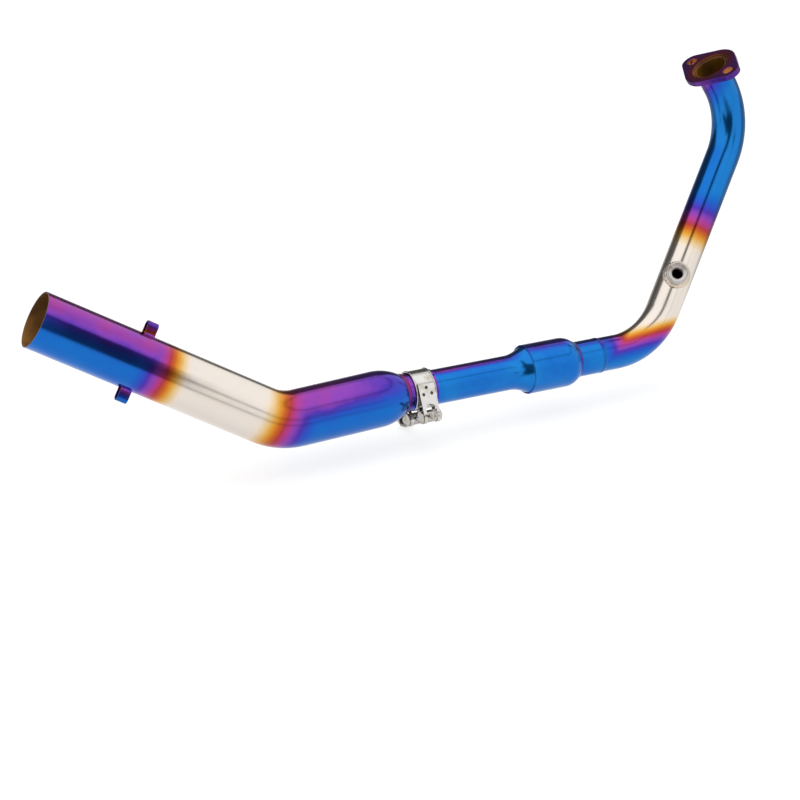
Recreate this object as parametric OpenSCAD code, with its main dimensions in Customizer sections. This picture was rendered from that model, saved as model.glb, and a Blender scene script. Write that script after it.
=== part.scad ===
// Motorcycle exhaust header in two lengths. The head pipe starts in a two-bolt flange,
// bends twice, carries a sensor bung and ends in a resonance chamber with a slip-on tail.
// The wider link pipe is held on that tail by a T-bolt clamp and runs back to the outlet,
// where two hooks take the muffler's springs.
// The frame has its origin at the centre of the port, on the flange's mating face, with
// +X forward, +Y to the left and +Z up. Every pipe is drawn along its own local +Z.

/* [Route of the pipes] */
// How far the port points backwards from straight down, in degrees
port_lean = 28; // [20:1:35]
// How far the port points sideways from straight down, in degrees
port_side_lean = 7; // [0:1:12]
// Straight length from the mating face to the first bend
port_lead_l = 23; // [18:1:40]
// Centre-line radius of the first bend
first_bend_r = 64; // [50:1:80]
// Angle of the first bend
first_bend_a = 63.5; // [50:0.5:75]
// Turn of the first bend's plane about the pipe
first_bend_roll = -43; // [-55:1:-30]
// Straight length between the first two bends
head_straight_l = 158; // [145:1:175]
// Centre-line radius of the second bend
second_bend_r = 67; // [50:1:80]
// Angle of the second bend
second_bend_a = 57; // [45:0.5:70]
// Turn of the second bend's plane, counted from the first one's
second_bend_roll = 13.5; // [0:0.5:30]
// Straight length of the head pipe after its second bend
head_tail_l = 20; // [12:1:35]
// Angle between the inlet sleeve and the link pipe at their mitred joint
mitre_a = 2; // [0:0.5:4]
// Straight length of the link pipe before its bend
link_lead_l = 103; // [90:1:120]
// Centre-line radius of the link pipe's bend
link_bend_r = 58; // [50:1:80]
// Angle of the link pipe's bend
link_bend_a = 33.5; // [20:0.5:45]
// Turn of the link bend's plane, counted from the second bend's
link_bend_roll = 1; // [-10:1:10]
// Straight length of the link pipe from its bend to the outlet
rear_straight_l = 221; // [190:1:240]

/* [Pipes] */
// Outside diameter of the head pipe and the tail pipe
pipe_od = 31.8; // [30:0.1:34]
// Wall of the head pipe and the tail pipe
pipe_wall = 1.2; // [1:0.1:1.6]
// Outside diameter of the link pipe
link_od = 51; // [48:0.5:54]
// Wall of the link pipe
link_wall = 1.2; // [1:0.1:1.6]
// Length over which the link pipe is spun down to its inlet
link_reducer_l = 26; // [22:1:34]

/* [Head flange] */
// Distance between the centres of the two stud holes
stud_pitch = 58; // [56:0.5:64]
// Diameter of a stud hole
stud_hole_d = 10; // [8:0.1:11]
// Thickness of the flange plate
flange_t = 5; // [4:0.5:8]
// Radius of the plate round the port
flange_mid_r = 25.7; // [24:0.1:28]
// Radius of the plate round each stud
flange_ear_r = 10.7; // [9.5:0.1:12]
// Diameter of the recess that holds the port's gasket ring
gasket_recess_d = 35; // [35:0.5:38]
// Depth of the gasket recess
gasket_recess_depth = 2; // [1:0.5:2.5]
// Turn of the line through the studs about the port
stud_line_a = 57.5; // [0:0.5:90]

/* [Sensor bung] */
// Distance from the end of the first bend to the bung
bung_pos = 125.5; // [60:0.5:135]
// Turn of the bung round the pipe
bung_turn = 311; // [290:1:330]
// Outside diameter of the bung
bung_od = 20.4; // [18:0.1:22]
// Height of the bung above the pipe
bung_h = 9.1; // [7:0.1:14]
// Tapping diameter of the bung's fine thread
bung_bore_d = 10.7; // [10:0.1:12]
// Width of the weld round the bung
bung_weld_w = 2.3; // [1.5:0.1:3]

/* [Resonance chamber] */
// Wall of the perforated core, whose bore is the pipe's
core_wall = 1.7; // [1.5:0.1:2]
// Length of the core in front of the chamber
core_lead_l = 26; // [20:1:40]
// Wall of the chamber's shell
shell_wall = 1.2; // [1:0.1:1.6]
// Outside diameter of the chamber's barrel
barrel_od = 45.5; // [44:0.5:50]
// Length of the rounded shoulder in front of the barrel
shoulder_l = 13; // [11:1:18]
// Length of the barrel
barrel_l = 38; // [34:1:50]
// Outside diameter of the tail pipe's mouth where it meets the barrel
flare_od = 44; // [43:0.5:45]
// Length of the trumpet flare behind the barrel
flare_l = 19; // [17:1:24]
// Length of the core inside the trumpet flare
core_tail_l = 7; // [5:1:8]
// Diameter of a hole in the core
core_hole_d = 4; // [3:0.5:5]
// Number of holes round the core
core_holes_round = 8; // [4:2:10]
// Number of rows of holes along the core
core_hole_rows = 5; // [3:1:5]
// Length of the tail pipe behind the flare
tail_l = 98; // [80:1:110]

/* [Slip joint] */
// Length of the slotted inlet sleeve
sleeve_l = 29; // [27:1:36]
// Wall of the inlet sleeve
sleeve_wall = 1.2; // [1:0.1:1.6]
// Length that the tail pipe stops short of the mitred joint
sleeve_spare_l = 8; // [4:1:12]
// Number of slots that let the sleeve close
sleeve_slots = 4; // [2:1:6]
// Length of a slot
sleeve_slot_l = 18; // [12:1:20]
// Width of a slot
sleeve_slot_w = 2; // [1.5:0.5:3]

/* [T-bolt clamp] */
// Distance from the sleeve's mouth to the middle of the band
clamp_pos = 13; // [11:0.5:15]
// Turn of the clamp round the pipe
clamp_turn = -83.2; // [-180:0.1:180]
// Width of the band
band_w = 20; // [18:1:22]
// Thickness of the band
band_t = 0.7; // [0.6:0.1:1]
// Radius of the rolled lip along each edge of the band
band_lip_r = 0.7; // [0.5:0.1:0.9]
// Angle of the gap between the band's two ends
band_gap_a = 56; // [40:2:70]
// Thickness of the bridge under that gap
bridge_t = 0.5; // [0.4:0.1:0.8]
// Angle that the bridge spans
bridge_a = 92; // [80:2:120]
// Width of a loop strap
strap_w = 16; // [15:0.5:18]
// Thickness of a loop strap
strap_t = 0.8; // [0.6:0.1:1]
// Angle at which the loop straps start, above the clamp's middle
strap_top_a = 15.6; // [10:0.1:40]
// Half of the distance between the two trunnions
trunnion_half_span = 15; // [13:0.5:18]
// Distance of the bolt below the pipe's axis
bolt_drop = 24.5; // [24:0.5:28]
// Diameter of a trunnion
trunnion_d = 11; // [10:0.5:12]
// Length of a trunnion
trunnion_l = 19; // [18:0.5:22]
// Depth of the flat on the plain trunnion, where the spacer rests
trunnion_flat_depth = 0.5; // [0.3:0.1:0.8]
// Width of the notch that lets the bolt through a loop
notch_w = 10; // [10:0.5:11]
// Distance from the top of the notch to the pipe's axis
notch_drop = 14; // [13:0.5:15]
// Diameter of the clamp bolt
bolt_d = 6; // [5:0.5:6]
// Length of the bolt under its head
bolt_l = 75; // [68:1:80]
// Length of the bolt that stands out beyond the clamp's middle on the threaded side
bolt_reach = 36; // [30:1:40]
// Width across the flats of the bolt's head
bolt_head_af = 10; // [8:0.5:11]
// Height of the bolt's head with its flange
bolt_head_h = 6.5; // [5:0.5:8]
// Diameter of the flange under the bolt's head
bolt_flange_d = 13; // [12:0.5:15]
// Thickness of the flange under the bolt's head
bolt_flange_t = 1.3; // [1:0.1:2]
// Outside diameter of the spacer tube on the bolt
spacer_od = 9.4; // [8.6:0.2:9.4]

/* [Spring hooks] */
// Distance from the link pipe's bend to the middle of the hooks
hook_pos = 124.5; // [60:0.5:150]
// Turn of the upper hook round the pipe
hook_turn = -6.7; // [-30:0.1:30]
// Length of a hook along the pipe
hook_l = 10; // [8:0.5:14]
// Height of a hook above the pipe
hook_h = 11.5; // [9:0.5:14]
// Width of a hook across its two legs
hook_span = 9; // [8:0.5:11]
// Thickness of a hook
hook_t = 1.5; // [1.2:0.1:2]

/* [Welds and fits] */
// Leg of the fillet weld behind the flange
flange_weld_leg = 3; // [2:0.5:4]
// Width of the weld between the head pipe and the core
neck_weld_w = 5; // [3:0.5:7]
// Height of the weld between the head pipe and the core
neck_weld_h = 1.1; // [0.8:0.1:1.5]
// Leg of the fillet weld in front of the chamber
front_weld_leg = 1.5; // [1:0.1:2]
// Leg of the fillet weld behind the barrel
rear_weld_leg = 1.1; // [0.8:0.1:1.4]
// Width of the weld between the inlet sleeve and the link pipe
inlet_weld_w = 5; // [4:0.5:6]
// Height of the weld between the inlet sleeve and the link pipe
inlet_weld_h = 1.2; // [0.8:0.1:1.6]
// Leg of the fillet welds along a hook's feet
hook_weld_leg = 1.8; // [1:0.1:2.5]
// Gap between a weld and the metal that it lies on
weld_gap = 0.05; // [0.03:0.01:0.1]
// Gap all round between pieces that push together
push_fit = 0.05; // [0.03:0.01:0.1]
// Gap all round between the tail pipe and the inlet sleeve
slip_fit = 0.15; // [0.1:0.05:0.3]
// Gap all round between the bolt and the plain parts that it passes through
bolt_clearance = 0.2; // [0.1:0.05:0.3]

/* [Hidden] */
$fn = 96;

// Colours of the heat-tinted metal, from the port to the outlet
port_colour = "#3a1f45";
blue_tint = "#3558c8";
violet_tint = "#5a3f9e";
straw_tint = "#c9a24a";
bare_steel = "#b9bcc0";

// Radii of the pipes
pipe_r = pipe_od / 2;
pipe_bore_r = pipe_r - pipe_wall;
core_r = pipe_bore_r + core_wall;
barrel_r = barrel_od / 2;
flare_r = flare_od / 2;
sleeve_bore_r = pipe_r + slip_fit;
sleeve_r = sleeve_bore_r + sleeve_wall;
link_r = link_od / 2;

// Stations along the middle run, counted from the end of the second bend
core_start = head_tail_l;
shell_start = core_start + core_lead_l;
barrel_start = shell_start + shoulder_l;
barrel_end = barrel_start + barrel_l;
flare_end = barrel_end + flare_l;
tail_end = flare_end + tail_l;
mitre_pos = tail_end + sleeve_spare_l;
sleeve_start = mitre_pos - sleeve_l;

// Radii of the spun shapes, from their length and their rise
shell_mouth_r = core_r + push_fit + shell_wall;
shoulder_arc_r = arc_radius(shoulder_l, barrel_r - shell_mouth_r);
flare_arc_r = arc_radius(flare_l, flare_r - pipe_r);
reducer_arc_r = arc_radius(link_reducer_l, link_r - sleeve_r);

// The clamp's rings, from the sleeve outwards
bridge_r = sleeve_r + push_fit;
band_bore_r = bridge_r + bridge_t + push_fit;
band_r = band_bore_r + band_t;
strap_bore_r = band_r + push_fit;
loop_bore_r = trunnion_d / 2 + push_fit;
trunnion_flat = trunnion_d / 2 - trunnion_flat_depth;

// Depth by which the wall of a bend is drawn in, inside and outside
bend_draw = 0.05;
// Angle by which a bend's ends reach into the straight walls
bend_lap_a = 0.1;

// Room that a cutting shape has beyond the metal that it cuts
spare = 1;
// Length of a cutting shape that runs past everything
far = 100;

// Radius of an arc that ends square to its run and rises by rise over run
function arc_radius(run, rise) = (run * run + rise * rise) / (2 * rise);
// Point at a distance and an angle from the origin
function polar(r, a) = [r * cos(a), r * sin(a)];

// Frames along the route

// Turns what follows as a mitred joint would, about an axis set by roll
module mitre(angle, roll) {
    rotate([0, 0, roll]) rotate([0, angle, 0]) rotate([0, 0, -roll]) children();
}

// Moves what follows to the end of a bend towards +X
module after_bend(radius, angle, roll) {
    rotate([0, 0, roll]) translate([radius, 0, 0]) rotate([0, angle, 0])
        translate([-radius, 0, 0]) children();
}

module at_port() {
    rotate([port_side_lean, 0, 0]) rotate([0, 180 - port_lean, 0]) children();
}

module at_head_straight() {
    at_port() translate([0, 0, port_lead_l])
        after_bend(first_bend_r, first_bend_a, first_bend_roll) children();
}

module at_middle_run() {
    at_head_straight() translate([0, 0, head_straight_l])
        after_bend(second_bend_r, second_bend_a, second_bend_roll) children();
}

module at_link() {
    at_middle_run() translate([0, 0, mitre_pos]) mitre(mitre_a, 180) children();
}

module at_rear_straight() {
    at_link() translate([0, 0, link_lead_l])
        after_bend(link_bend_r, link_bend_a, link_bend_roll) children();
}

module at_clamp() {
    at_middle_run() translate([0, 0, sleeve_start + clamp_pos])
        rotate([0, 0, clamp_turn]) children();
}

// Lays +Z along the outward normal of a pipe, with +X against the pipe's run
module outward(turn) {
    rotate([0, 0, turn]) rotate([0, 90, 0]) children();
}

// Lengths of pipe

module straight_pipe(r, wall, length) {
    rotate_extrude() translate([r - wall, 0]) square([wall, length]);
}

// A bend's wall is drawn in a little, and its ends reach a little into the straight walls
module bent_pipe(r, wall, radius, angle, roll) {
    rotate([0, 0, roll]) translate([radius, 0, 0]) rotate([90, 0, 180])
        rotate([0, 0, -bend_lap_a]) rotate_extrude(angle = angle + 2 * bend_lap_a)
            translate([radius, 0]) ring(r - wall + bend_draw, r - bend_draw);
}

module ring(inner_r, outer_r) {
    difference() {
        circle(outer_r);
        circle(inner_r);
    }
}

// A wedge with its point at the origin, from angle a0 to a1, less than 180 degrees wide
module wedge(a0, a1) {
    polygon([[0, 0], polar(far, a0), polar(far, (a0 + a1) / 2), polar(far, a1)]);
}

module ring_sector(inner_r, outer_r, a0, a1) {
    intersection() {
        ring(inner_r, outer_r);
        wedge(a0, a1);
    }
}

// Weld beads

// A quarter-round bead in the corner between a pipe and a face at z = 0
module fillet_weld(r, leg) {
    rotate_extrude() intersection() {
        translate([r + weld_gap, weld_gap]) square(leg);
        translate([r + weld_gap, weld_gap]) circle(leg);
    }
}

// Section of a low domed bead that is w wide and h high on a surface of radius r
module bead_section(r, w, h) {
    dome_r = arc_radius(w / 2, h);
    intersection() {
        translate([r + h - dome_r, 0]) circle(dome_r);
        translate([r, -w / 2]) square([h, w]);
    }
}

// Head flange

flange_ear_x = stud_pitch / 2;
// Angle from the stud line to the normal of the plate's straight edges
flange_edge_a = acos((flange_mid_r - flange_ear_r) / flange_ear_x);

// How far the plate's straight edges lie inside the lines that just touch its circles
flange_edge_draw = 0.02;

// Outline of the plate: three circles joined by straight edges
module flange_outline() {
    circle(flange_mid_r);
    for (side = [-1, 1]) translate([side * flange_ear_x, 0]) circle(flange_ear_r);
    polygon([
        for (corner = [[1, 1], [-1, 1], [-1, -1], [1, -1]])
            let (
                centre = [corner.x * flange_ear_x, 0],
                normal = [corner.x * cos(flange_edge_a), corner.y * sin(flange_edge_a)],
                middle = normal * (flange_mid_r - flange_edge_draw),
                ear = centre + normal * (flange_ear_r - flange_edge_draw)
            )
            each corner.x * corner.y > 0 ? [ear, middle] : [middle, ear]
    ]);
}

module flange_plate() {
    linear_extrude(flange_t) flange_outline();
}

module head_flange() {
    color(port_colour) at_port() rotate([0, 0, stud_line_a]) difference() {
        flange_plate();
        translate([0, 0, -spare]) cylinder(r = pipe_r + push_fit, h = flange_t + 2 * spare);
        translate([0, 0, -spare]) cylinder(d = gasket_recess_d, h = gasket_recess_depth + spare);
        for (side = [-1, 1]) translate([side * flange_ear_x, 0, -spare])
            cylinder(d = stud_hole_d, h = flange_t + 2 * spare);
    }
}

module flange_weld() {
    color(violet_tint) at_port() translate([0, 0, flange_t]) fillet_weld(pipe_r, flange_weld_leg);
}

// Head pipe and its sensor bung

module head_pipe() {
    color(blue_tint) difference() {
        union() {
            at_port() {
                translate([0, 0, gasket_recess_depth])
                    straight_pipe(pipe_r, pipe_wall, port_lead_l - gasket_recess_depth);
                translate([0, 0, port_lead_l])
                    bent_pipe(pipe_r, pipe_wall, first_bend_r, first_bend_a, first_bend_roll);
            }
            at_head_straight() {
                straight_pipe(pipe_r, pipe_wall, head_straight_l);
                translate([0, 0, head_straight_l])
                    bent_pipe(pipe_r, pipe_wall, second_bend_r, second_bend_a, second_bend_roll);
            }
            at_middle_run() straight_pipe(pipe_r, pipe_wall, head_tail_l);
        }
        at_bung() cylinder(r = bung_bore_d / 2 + spare, h = pipe_r + spare);
    }
}

module at_bung() {
    at_head_straight() translate([0, 0, bung_pos]) outward(bung_turn) children();
}

// Chamfer round the bung's rim, the width of its flat rim and the depth of its dish
bung_chamfer = 0.8;
bung_rim_w = 1;
bung_dish = 0.8;

module sensor_bung() {
    r = bung_od / 2;
    bore_r = bung_bore_d / 2;
    top = pipe_r + bung_h;
    color(bare_steel) at_bung() difference() {
        rotate_extrude() polygon([
            [bore_r, 0], [r, 0], [r, top - bung_chamfer], [r - bung_chamfer, top],
            [r - bung_chamfer - bung_rim_w, top], [bore_r + bung_dish, top - bung_dish],
            [bore_r, top - 2 * bung_dish]
        ]);
        rotate([0, 90, 0]) cylinder(r = pipe_r + push_fit, h = far, center = true);
    }
}

// The weld follows the saddle where the bung meets the round pipe
saddle_steps = 48;
saddle_bead_steps = 4;
// A chord across the curved pipe dips a little, so the saddle bead has this much room
saddle_gap = weld_gap + 0.1;

function saddle_z(y) = sqrt(pow(pipe_r + saddle_gap, 2) - y * y);
function saddle_point(r, a, lift) = [r * cos(a), r * sin(a), saddle_z(r * sin(a)) + lift];

module bung_weld() {
    inner_r = bung_od / 2 + weld_gap;
    count = saddle_bead_steps + 2;
    points = [
        for (i = [0 : saddle_steps - 1]) let (a = i * 360 / saddle_steps)
            for (k = [0 : count - 1]) let (b = k * 90 / saddle_bead_steps)
                k < count - 1
                    ? saddle_point(inner_r + bung_weld_w * cos(b), a, bung_weld_w * sin(b))
                    : saddle_point(inner_r, a, 0)
    ];
    faces = [
        for (i = [0 : saddle_steps - 1]) let (j = (i + 1) % saddle_steps)
            for (k = [0 : count - 1]) let (m = (k + 1) % count)
                each [
                    [i * count + k, i * count + m, j * count + k],
                    [j * count + k, i * count + m, j * count + m]
                ]
    ];
    color(bare_steel) at_bung() polyhedron(points, faces);
}

// Resonance chamber

module neck_weld() {
    color(violet_tint) at_middle_run() translate([0, 0, core_start]) rotate_extrude() difference() {
        bead_section(pipe_r + weld_gap, neck_weld_w, neck_weld_h);
        square([core_r + weld_gap, neck_weld_w]);
    }
}

module resonator_core() {
    rows_l = barrel_l - 2 * core_hole_d;
    color(blue_tint) at_middle_run() difference() {
        translate([0, 0, core_start])
            straight_pipe(core_r, core_wall, barrel_end + core_tail_l - core_start);
        for (row = [0 : core_hole_rows - 1], turn = [0 : core_holes_round / 2 - 1])
            translate([0, 0, barrel_start + core_hole_d + row * rows_l / (core_hole_rows - 1)])
                rotate([0, 0, turn * 360 / core_holes_round + row * 180 / core_holes_round])
                    rotate([90, 0, 0])
                        cylinder(d = core_hole_d, h = 2 * (core_r + spare), center = true);
    }
}

module resonator_front_weld() {
    color(violet_tint) at_middle_run() translate([0, 0, shell_start]) mirror([0, 0, 1])
        fillet_weld(core_r, front_weld_leg);
}

module resonator_shell() {
    color(blue_tint) at_middle_run() translate([0, 0, barrel_start]) rotate_extrude() union() {
        translate([barrel_r - shell_wall, 0]) square([shell_wall, barrel_l]);
        intersection() {
            translate([barrel_r - shoulder_arc_r, 0])
                ring(shoulder_arc_r - shell_wall, shoulder_arc_r);
            translate([core_r + push_fit, -shoulder_l]) square([barrel_r, shoulder_l]);
        }
    }
}

module resonator_rear_weld() {
    color(violet_tint) at_middle_run() translate([0, 0, barrel_end])
        fillet_weld(flare_r, rear_weld_leg);
}

module tail_pipe() {
    color(violet_tint) at_middle_run() translate([0, 0, flare_end]) rotate_extrude() union() {
        translate([pipe_bore_r, 0]) square([pipe_wall, tail_l]);
        intersection() {
            translate([pipe_r + flare_arc_r, 0]) ring(flare_arc_r, flare_arc_r + pipe_wall);
            translate([pipe_bore_r, -flare_l]) square([flare_r - pipe_bore_r, flare_l]);
        }
    }
}

// Slip joint and link pipe

// Half of the joint's angle, so that both mouths lie in one plane
module at_mitre_plane() {
    at_middle_run() translate([0, 0, mitre_pos]) mitre(mitre_a / 2, 180) children();
}

module inlet_sleeve() {
    slot_round_r = sleeve_slot_w / 2;
    color(violet_tint) difference() {
        at_middle_run() translate([0, 0, sleeve_start])
            straight_pipe(sleeve_r, sleeve_wall, sleeve_l + spare);
        at_mitre_plane() cylinder(r = link_r, h = far);
        at_middle_run() translate([0, 0, sleeve_start])
            for (i = [0 : sleeve_slots - 1]) rotate([0, 0, (i + 0.5) * 360 / sleeve_slots]) {
                translate([0, -slot_round_r, -spare])
                    cube([sleeve_r + spare, sleeve_slot_w, sleeve_slot_l - slot_round_r + spare]);
                translate([0, 0, sleeve_slot_l - slot_round_r]) rotate([0, 90, 0])
                    cylinder(r = slot_round_r, h = sleeve_r + spare);
            }
    }
}

// Room under the weld for the small angle between the sleeve and the link pipe
mitre_room = weld_gap + inlet_weld_w * sin(mitre_a);

module inlet_weld() {
    color(violet_tint) at_link() rotate_extrude() difference() {
        bead_section(sleeve_r + mitre_room, inlet_weld_w, inlet_weld_h);
        translate([link_r - reducer_arc_r, link_reducer_l]) circle(reducer_arc_r + weld_gap);
    }
}

module link_pipe() {
    color(straw_tint) union() {
        difference() {
            at_link() translate([0, 0, link_reducer_l]) rotate_extrude() union() {
                translate([link_r - link_wall, 0])
                    square([link_wall, link_lead_l - link_reducer_l]);
                intersection() {
                    translate([link_r - reducer_arc_r, 0])
                        ring(reducer_arc_r - link_wall, reducer_arc_r);
                    translate([0, -link_reducer_l - spare])
                        square([link_r, link_reducer_l + spare]);
                }
            }
            at_mitre_plane() mirror([0, 0, 1]) cylinder(r = link_r, h = far);
        }
        at_link() translate([0, 0, link_lead_l])
            bent_pipe(link_r, link_wall, link_bend_r, link_bend_a, link_bend_roll);
        at_rear_straight() straight_pipe(link_r, link_wall, rear_straight_l);
    }
}

// Spring hooks: a folded strap stands on the pipe as a small tunnel along its run

hook_r = hook_span / 2;

module hook_section(r) {
    translate([0, -r]) square([link_r + hook_h - hook_r, 2 * r]);
    translate([link_r + hook_h - hook_r, 0]) circle(r);
}

module spring_hook(turn) {
    at_rear_straight() translate([0, 0, hook_pos - hook_l / 2]) rotate([0, 0, turn])
        linear_extrude(hook_l) difference() {
            hook_section(hook_r);
            hook_section(hook_r - hook_t);
            circle(link_r + push_fit);
        }
}

module hook_weld(turn) {
    foot_x = sqrt(link_r * link_r - hook_r * hook_r);
    at_rear_straight() translate([0, 0, hook_pos - hook_l / 2]) rotate([0, 0, turn])
        linear_extrude(hook_l) for (side = [0, 1]) mirror([0, side]) difference() {
            translate([foot_x, hook_r]) circle(hook_weld_leg);
            circle(link_r + weld_gap);
            translate([0, hook_r + weld_gap - far]) square(far);
        }
}

module spring_hook_upper() {
    color(violet_tint) spring_hook(hook_turn);
}

module spring_hook_lower() {
    color(violet_tint) spring_hook(hook_turn + 180);
}

module hook_weld_upper() {
    color(violet_tint) hook_weld(hook_turn);
}

module hook_weld_lower() {
    color(violet_tint) hook_weld(hook_turn + 180);
}

// T-bolt clamp, drawn with +X towards the bolt's tip and +Y away from the bolt

// Angles of the band's two ends, with the gap between them at the bolt
band_start_a = -90 + band_gap_a / 2;

module clamp_band() {
    color(bare_steel) at_clamp() rotate([0, 0, band_start_a])
        rotate_extrude(angle = 360 - band_gap_a) union() {
            translate([band_bore_r, -band_w / 2]) square([band_t, band_w]);
            for (edge = [-1, 1]) translate([band_r, edge * (band_w / 2 - band_lip_r)])
                circle(band_lip_r);
        }
}

module clamp_bridge() {
    color(bare_steel) at_clamp() translate([0, 0, -strap_w / 2]) linear_extrude(strap_w)
        ring_sector(bridge_r, bridge_r + bridge_t, -90 - bridge_a / 2, -90 + bridge_a / 2);
}

// The loop strap runs down from the band, round its trunnion and back up
trunnion_place = [trunnion_half_span, -bolt_drop];
trunnion_dist = norm(trunnion_place);
trunnion_a = atan2(-bolt_drop, trunnion_half_span);
loop_mid_r = loop_bore_r + strap_t / 2;
inner_layer_r = strap_bore_r + strap_t / 2;
outer_layer_r = inner_layer_r + strap_t;
// Angles at which the outer and the inner leg leave the band
outer_leg_a = trunnion_a + acos((outer_layer_r - loop_mid_r) / trunnion_dist);
inner_leg_a = trunnion_a + acos((inner_layer_r + loop_mid_r) / trunnion_dist);

// A straight piece of strap from p to q, whose ends reach a little into the round pieces
leg_lap = 0.5;
leg_draw = 0.01;

module strap(p, q) {
    along = (q - p) / norm(q - p);
    side = [-along.y, along.x] * (strap_t / 2 - leg_draw);
    start = p - along * leg_lap;
    end = q + along * leg_lap;
    polygon([start + side, start - side, end - side, end + side]);
}

module loop_section() {
    ring_sector(strap_bore_r, strap_bore_r + strap_t, inner_leg_a, strap_top_a);
    ring_sector(strap_bore_r, strap_bore_r + 2 * strap_t, outer_leg_a, strap_top_a);
    strap(polar(outer_layer_r, outer_leg_a), trunnion_place + polar(loop_mid_r, outer_leg_a));
    strap(polar(inner_layer_r, inner_leg_a), trunnion_place - polar(loop_mid_r, inner_leg_a));
    translate(trunnion_place) difference() {
        ring(loop_bore_r, loop_bore_r + strap_t);
        wedge(outer_leg_a, inner_leg_a + 180);
    }
}

module clamp_loop() {
    notch_r = notch_w / 2;
    difference() {
        translate([0, 0, -strap_w / 2]) linear_extrude(strap_w) loop_section();
        translate([0, -notch_drop - notch_r, 0]) {
            rotate([0, 90, 0]) cylinder(r = notch_r, h = far);
            translate([0, -far, -notch_r]) cube([far, far, notch_w]);
        }
    }
}

module clamp_loop_near() {
    color(bare_steel) at_clamp() clamp_loop();
}

module clamp_loop_far() {
    color(bare_steel) at_clamp() mirror([1, 0, 0]) clamp_loop();
}

// A round bar across the clamp, drilled for the bolt
module trunnion(hole_r) {
    difference() {
        cylinder(d = trunnion_d, h = trunnion_l, center = true);
        rotate([0, 90, 0]) cylinder(r = hole_r, h = far, center = true);
    }
}

module trunnion_threaded() {
    color(bare_steel) at_clamp() translate(trunnion_place) trunnion(bolt_d / 2 + push_fit);
}

module trunnion_plain() {
    color(bare_steel) at_clamp() mirror([1, 0, 0]) translate(trunnion_place) difference() {
        trunnion(bolt_d / 2 + bolt_clearance);
        translate([trunnion_flat, -trunnion_d, -spacer_od / 2 - spare])
            cube([trunnion_d, 2 * trunnion_d, spacer_od + 2 * spare]);
    }
}

// The bolt's head is on the plain side, with the spacer tube under it
bolt_head_x = bolt_reach - bolt_l;

module at_bolt_head() {
    at_clamp() translate([bolt_head_x, -bolt_drop, 0]) rotate([0, 90, 0]) children();
}

module clamp_spacer() {
    spacer_l = -bolt_head_x - trunnion_half_span - trunnion_flat - 2 * push_fit;
    color(bare_steel) at_bolt_head() translate([0, 0, push_fit])
        straight_pipe(spacer_od / 2, spacer_od / 2 - bolt_d / 2 - bolt_clearance, spacer_l);
}

module clamp_bolt() {
    color(bare_steel) at_bolt_head() {
        cylinder(d = bolt_d, h = bolt_l);
        mirror([0, 0, 1]) {
            cylinder(d = bolt_flange_d, h = bolt_flange_t);
            cylinder(d = bolt_head_af / cos(30), h = bolt_head_h, $fn = 6);
        }
    }
}

head_flange();
flange_weld();
head_pipe();
sensor_bung();
bung_weld();
neck_weld();
resonator_core();
resonator_front_weld();
resonator_shell();
resonator_rear_weld();
tail_pipe();
inlet_sleeve();
inlet_weld();
link_pipe();
spring_hook_upper();
spring_hook_lower();
hook_weld_upper();
hook_weld_lower();
clamp_band();
clamp_bridge();
clamp_loop_near();
clamp_loop_far();
trunnion_threaded();
trunnion_plain();
clamp_spacer();
clamp_bolt();
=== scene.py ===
"""Dresses a motorcycle exhaust header: heat-tinted pipes, rippled welds and a bright clamp.

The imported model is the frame. Its pipes, flange and clamp straps keep their places and get
procedural finishes. Welds, threads, the bung, the bolt and the spot welds are built here.
Lengths are in metres and angles in degrees.
"""
import logging
from collections.abc import Callable, Sequence
from dataclasses import dataclass
from enum import Enum
from math import cos, degrees, pi, radians, sin, sqrt

import bmesh
import bpy
from mathutils import Matrix, Vector


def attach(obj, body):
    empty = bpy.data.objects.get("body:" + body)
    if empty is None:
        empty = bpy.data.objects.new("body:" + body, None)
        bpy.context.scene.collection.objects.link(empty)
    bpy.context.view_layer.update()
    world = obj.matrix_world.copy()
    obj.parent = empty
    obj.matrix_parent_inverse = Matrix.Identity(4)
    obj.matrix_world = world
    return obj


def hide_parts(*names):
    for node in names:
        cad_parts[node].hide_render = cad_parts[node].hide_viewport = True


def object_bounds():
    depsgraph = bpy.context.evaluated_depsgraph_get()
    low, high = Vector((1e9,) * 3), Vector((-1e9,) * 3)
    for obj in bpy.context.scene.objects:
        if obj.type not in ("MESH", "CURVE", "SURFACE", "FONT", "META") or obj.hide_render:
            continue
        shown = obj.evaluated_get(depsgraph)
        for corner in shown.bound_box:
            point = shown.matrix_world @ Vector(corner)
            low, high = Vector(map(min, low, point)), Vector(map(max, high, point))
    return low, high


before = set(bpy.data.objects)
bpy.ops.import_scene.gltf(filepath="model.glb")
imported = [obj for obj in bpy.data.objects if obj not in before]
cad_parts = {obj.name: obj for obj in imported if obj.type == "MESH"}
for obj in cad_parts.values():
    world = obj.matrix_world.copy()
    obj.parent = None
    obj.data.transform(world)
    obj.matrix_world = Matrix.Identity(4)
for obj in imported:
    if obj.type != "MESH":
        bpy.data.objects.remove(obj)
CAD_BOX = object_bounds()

log = logging.getLogger("exhaust_header")

MM = 0.001
Socket = bpy.types.NodeSocket
Finish = bpy.types.Material
Feed = float | Sequence[float] | Socket
Range = tuple[float, float]
Edges = Callable[[float], tuple[Vector, Vector, Vector]]
Radius = float | Callable[[float], float]


class Material(Enum):
    """Material slots of the record, passed along with the softened pieces but not read."""

    FLANGE = "flange_metal"
    HEAD = "head_metal"
    MIDDLE = "middle_metal"
    LINK = "link_metal"
    WELD = "weld_metal"
    HOOK = "hook_metal"
    BUNG = "bung_steel"
    CLAMP = "clamp_steel"


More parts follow.
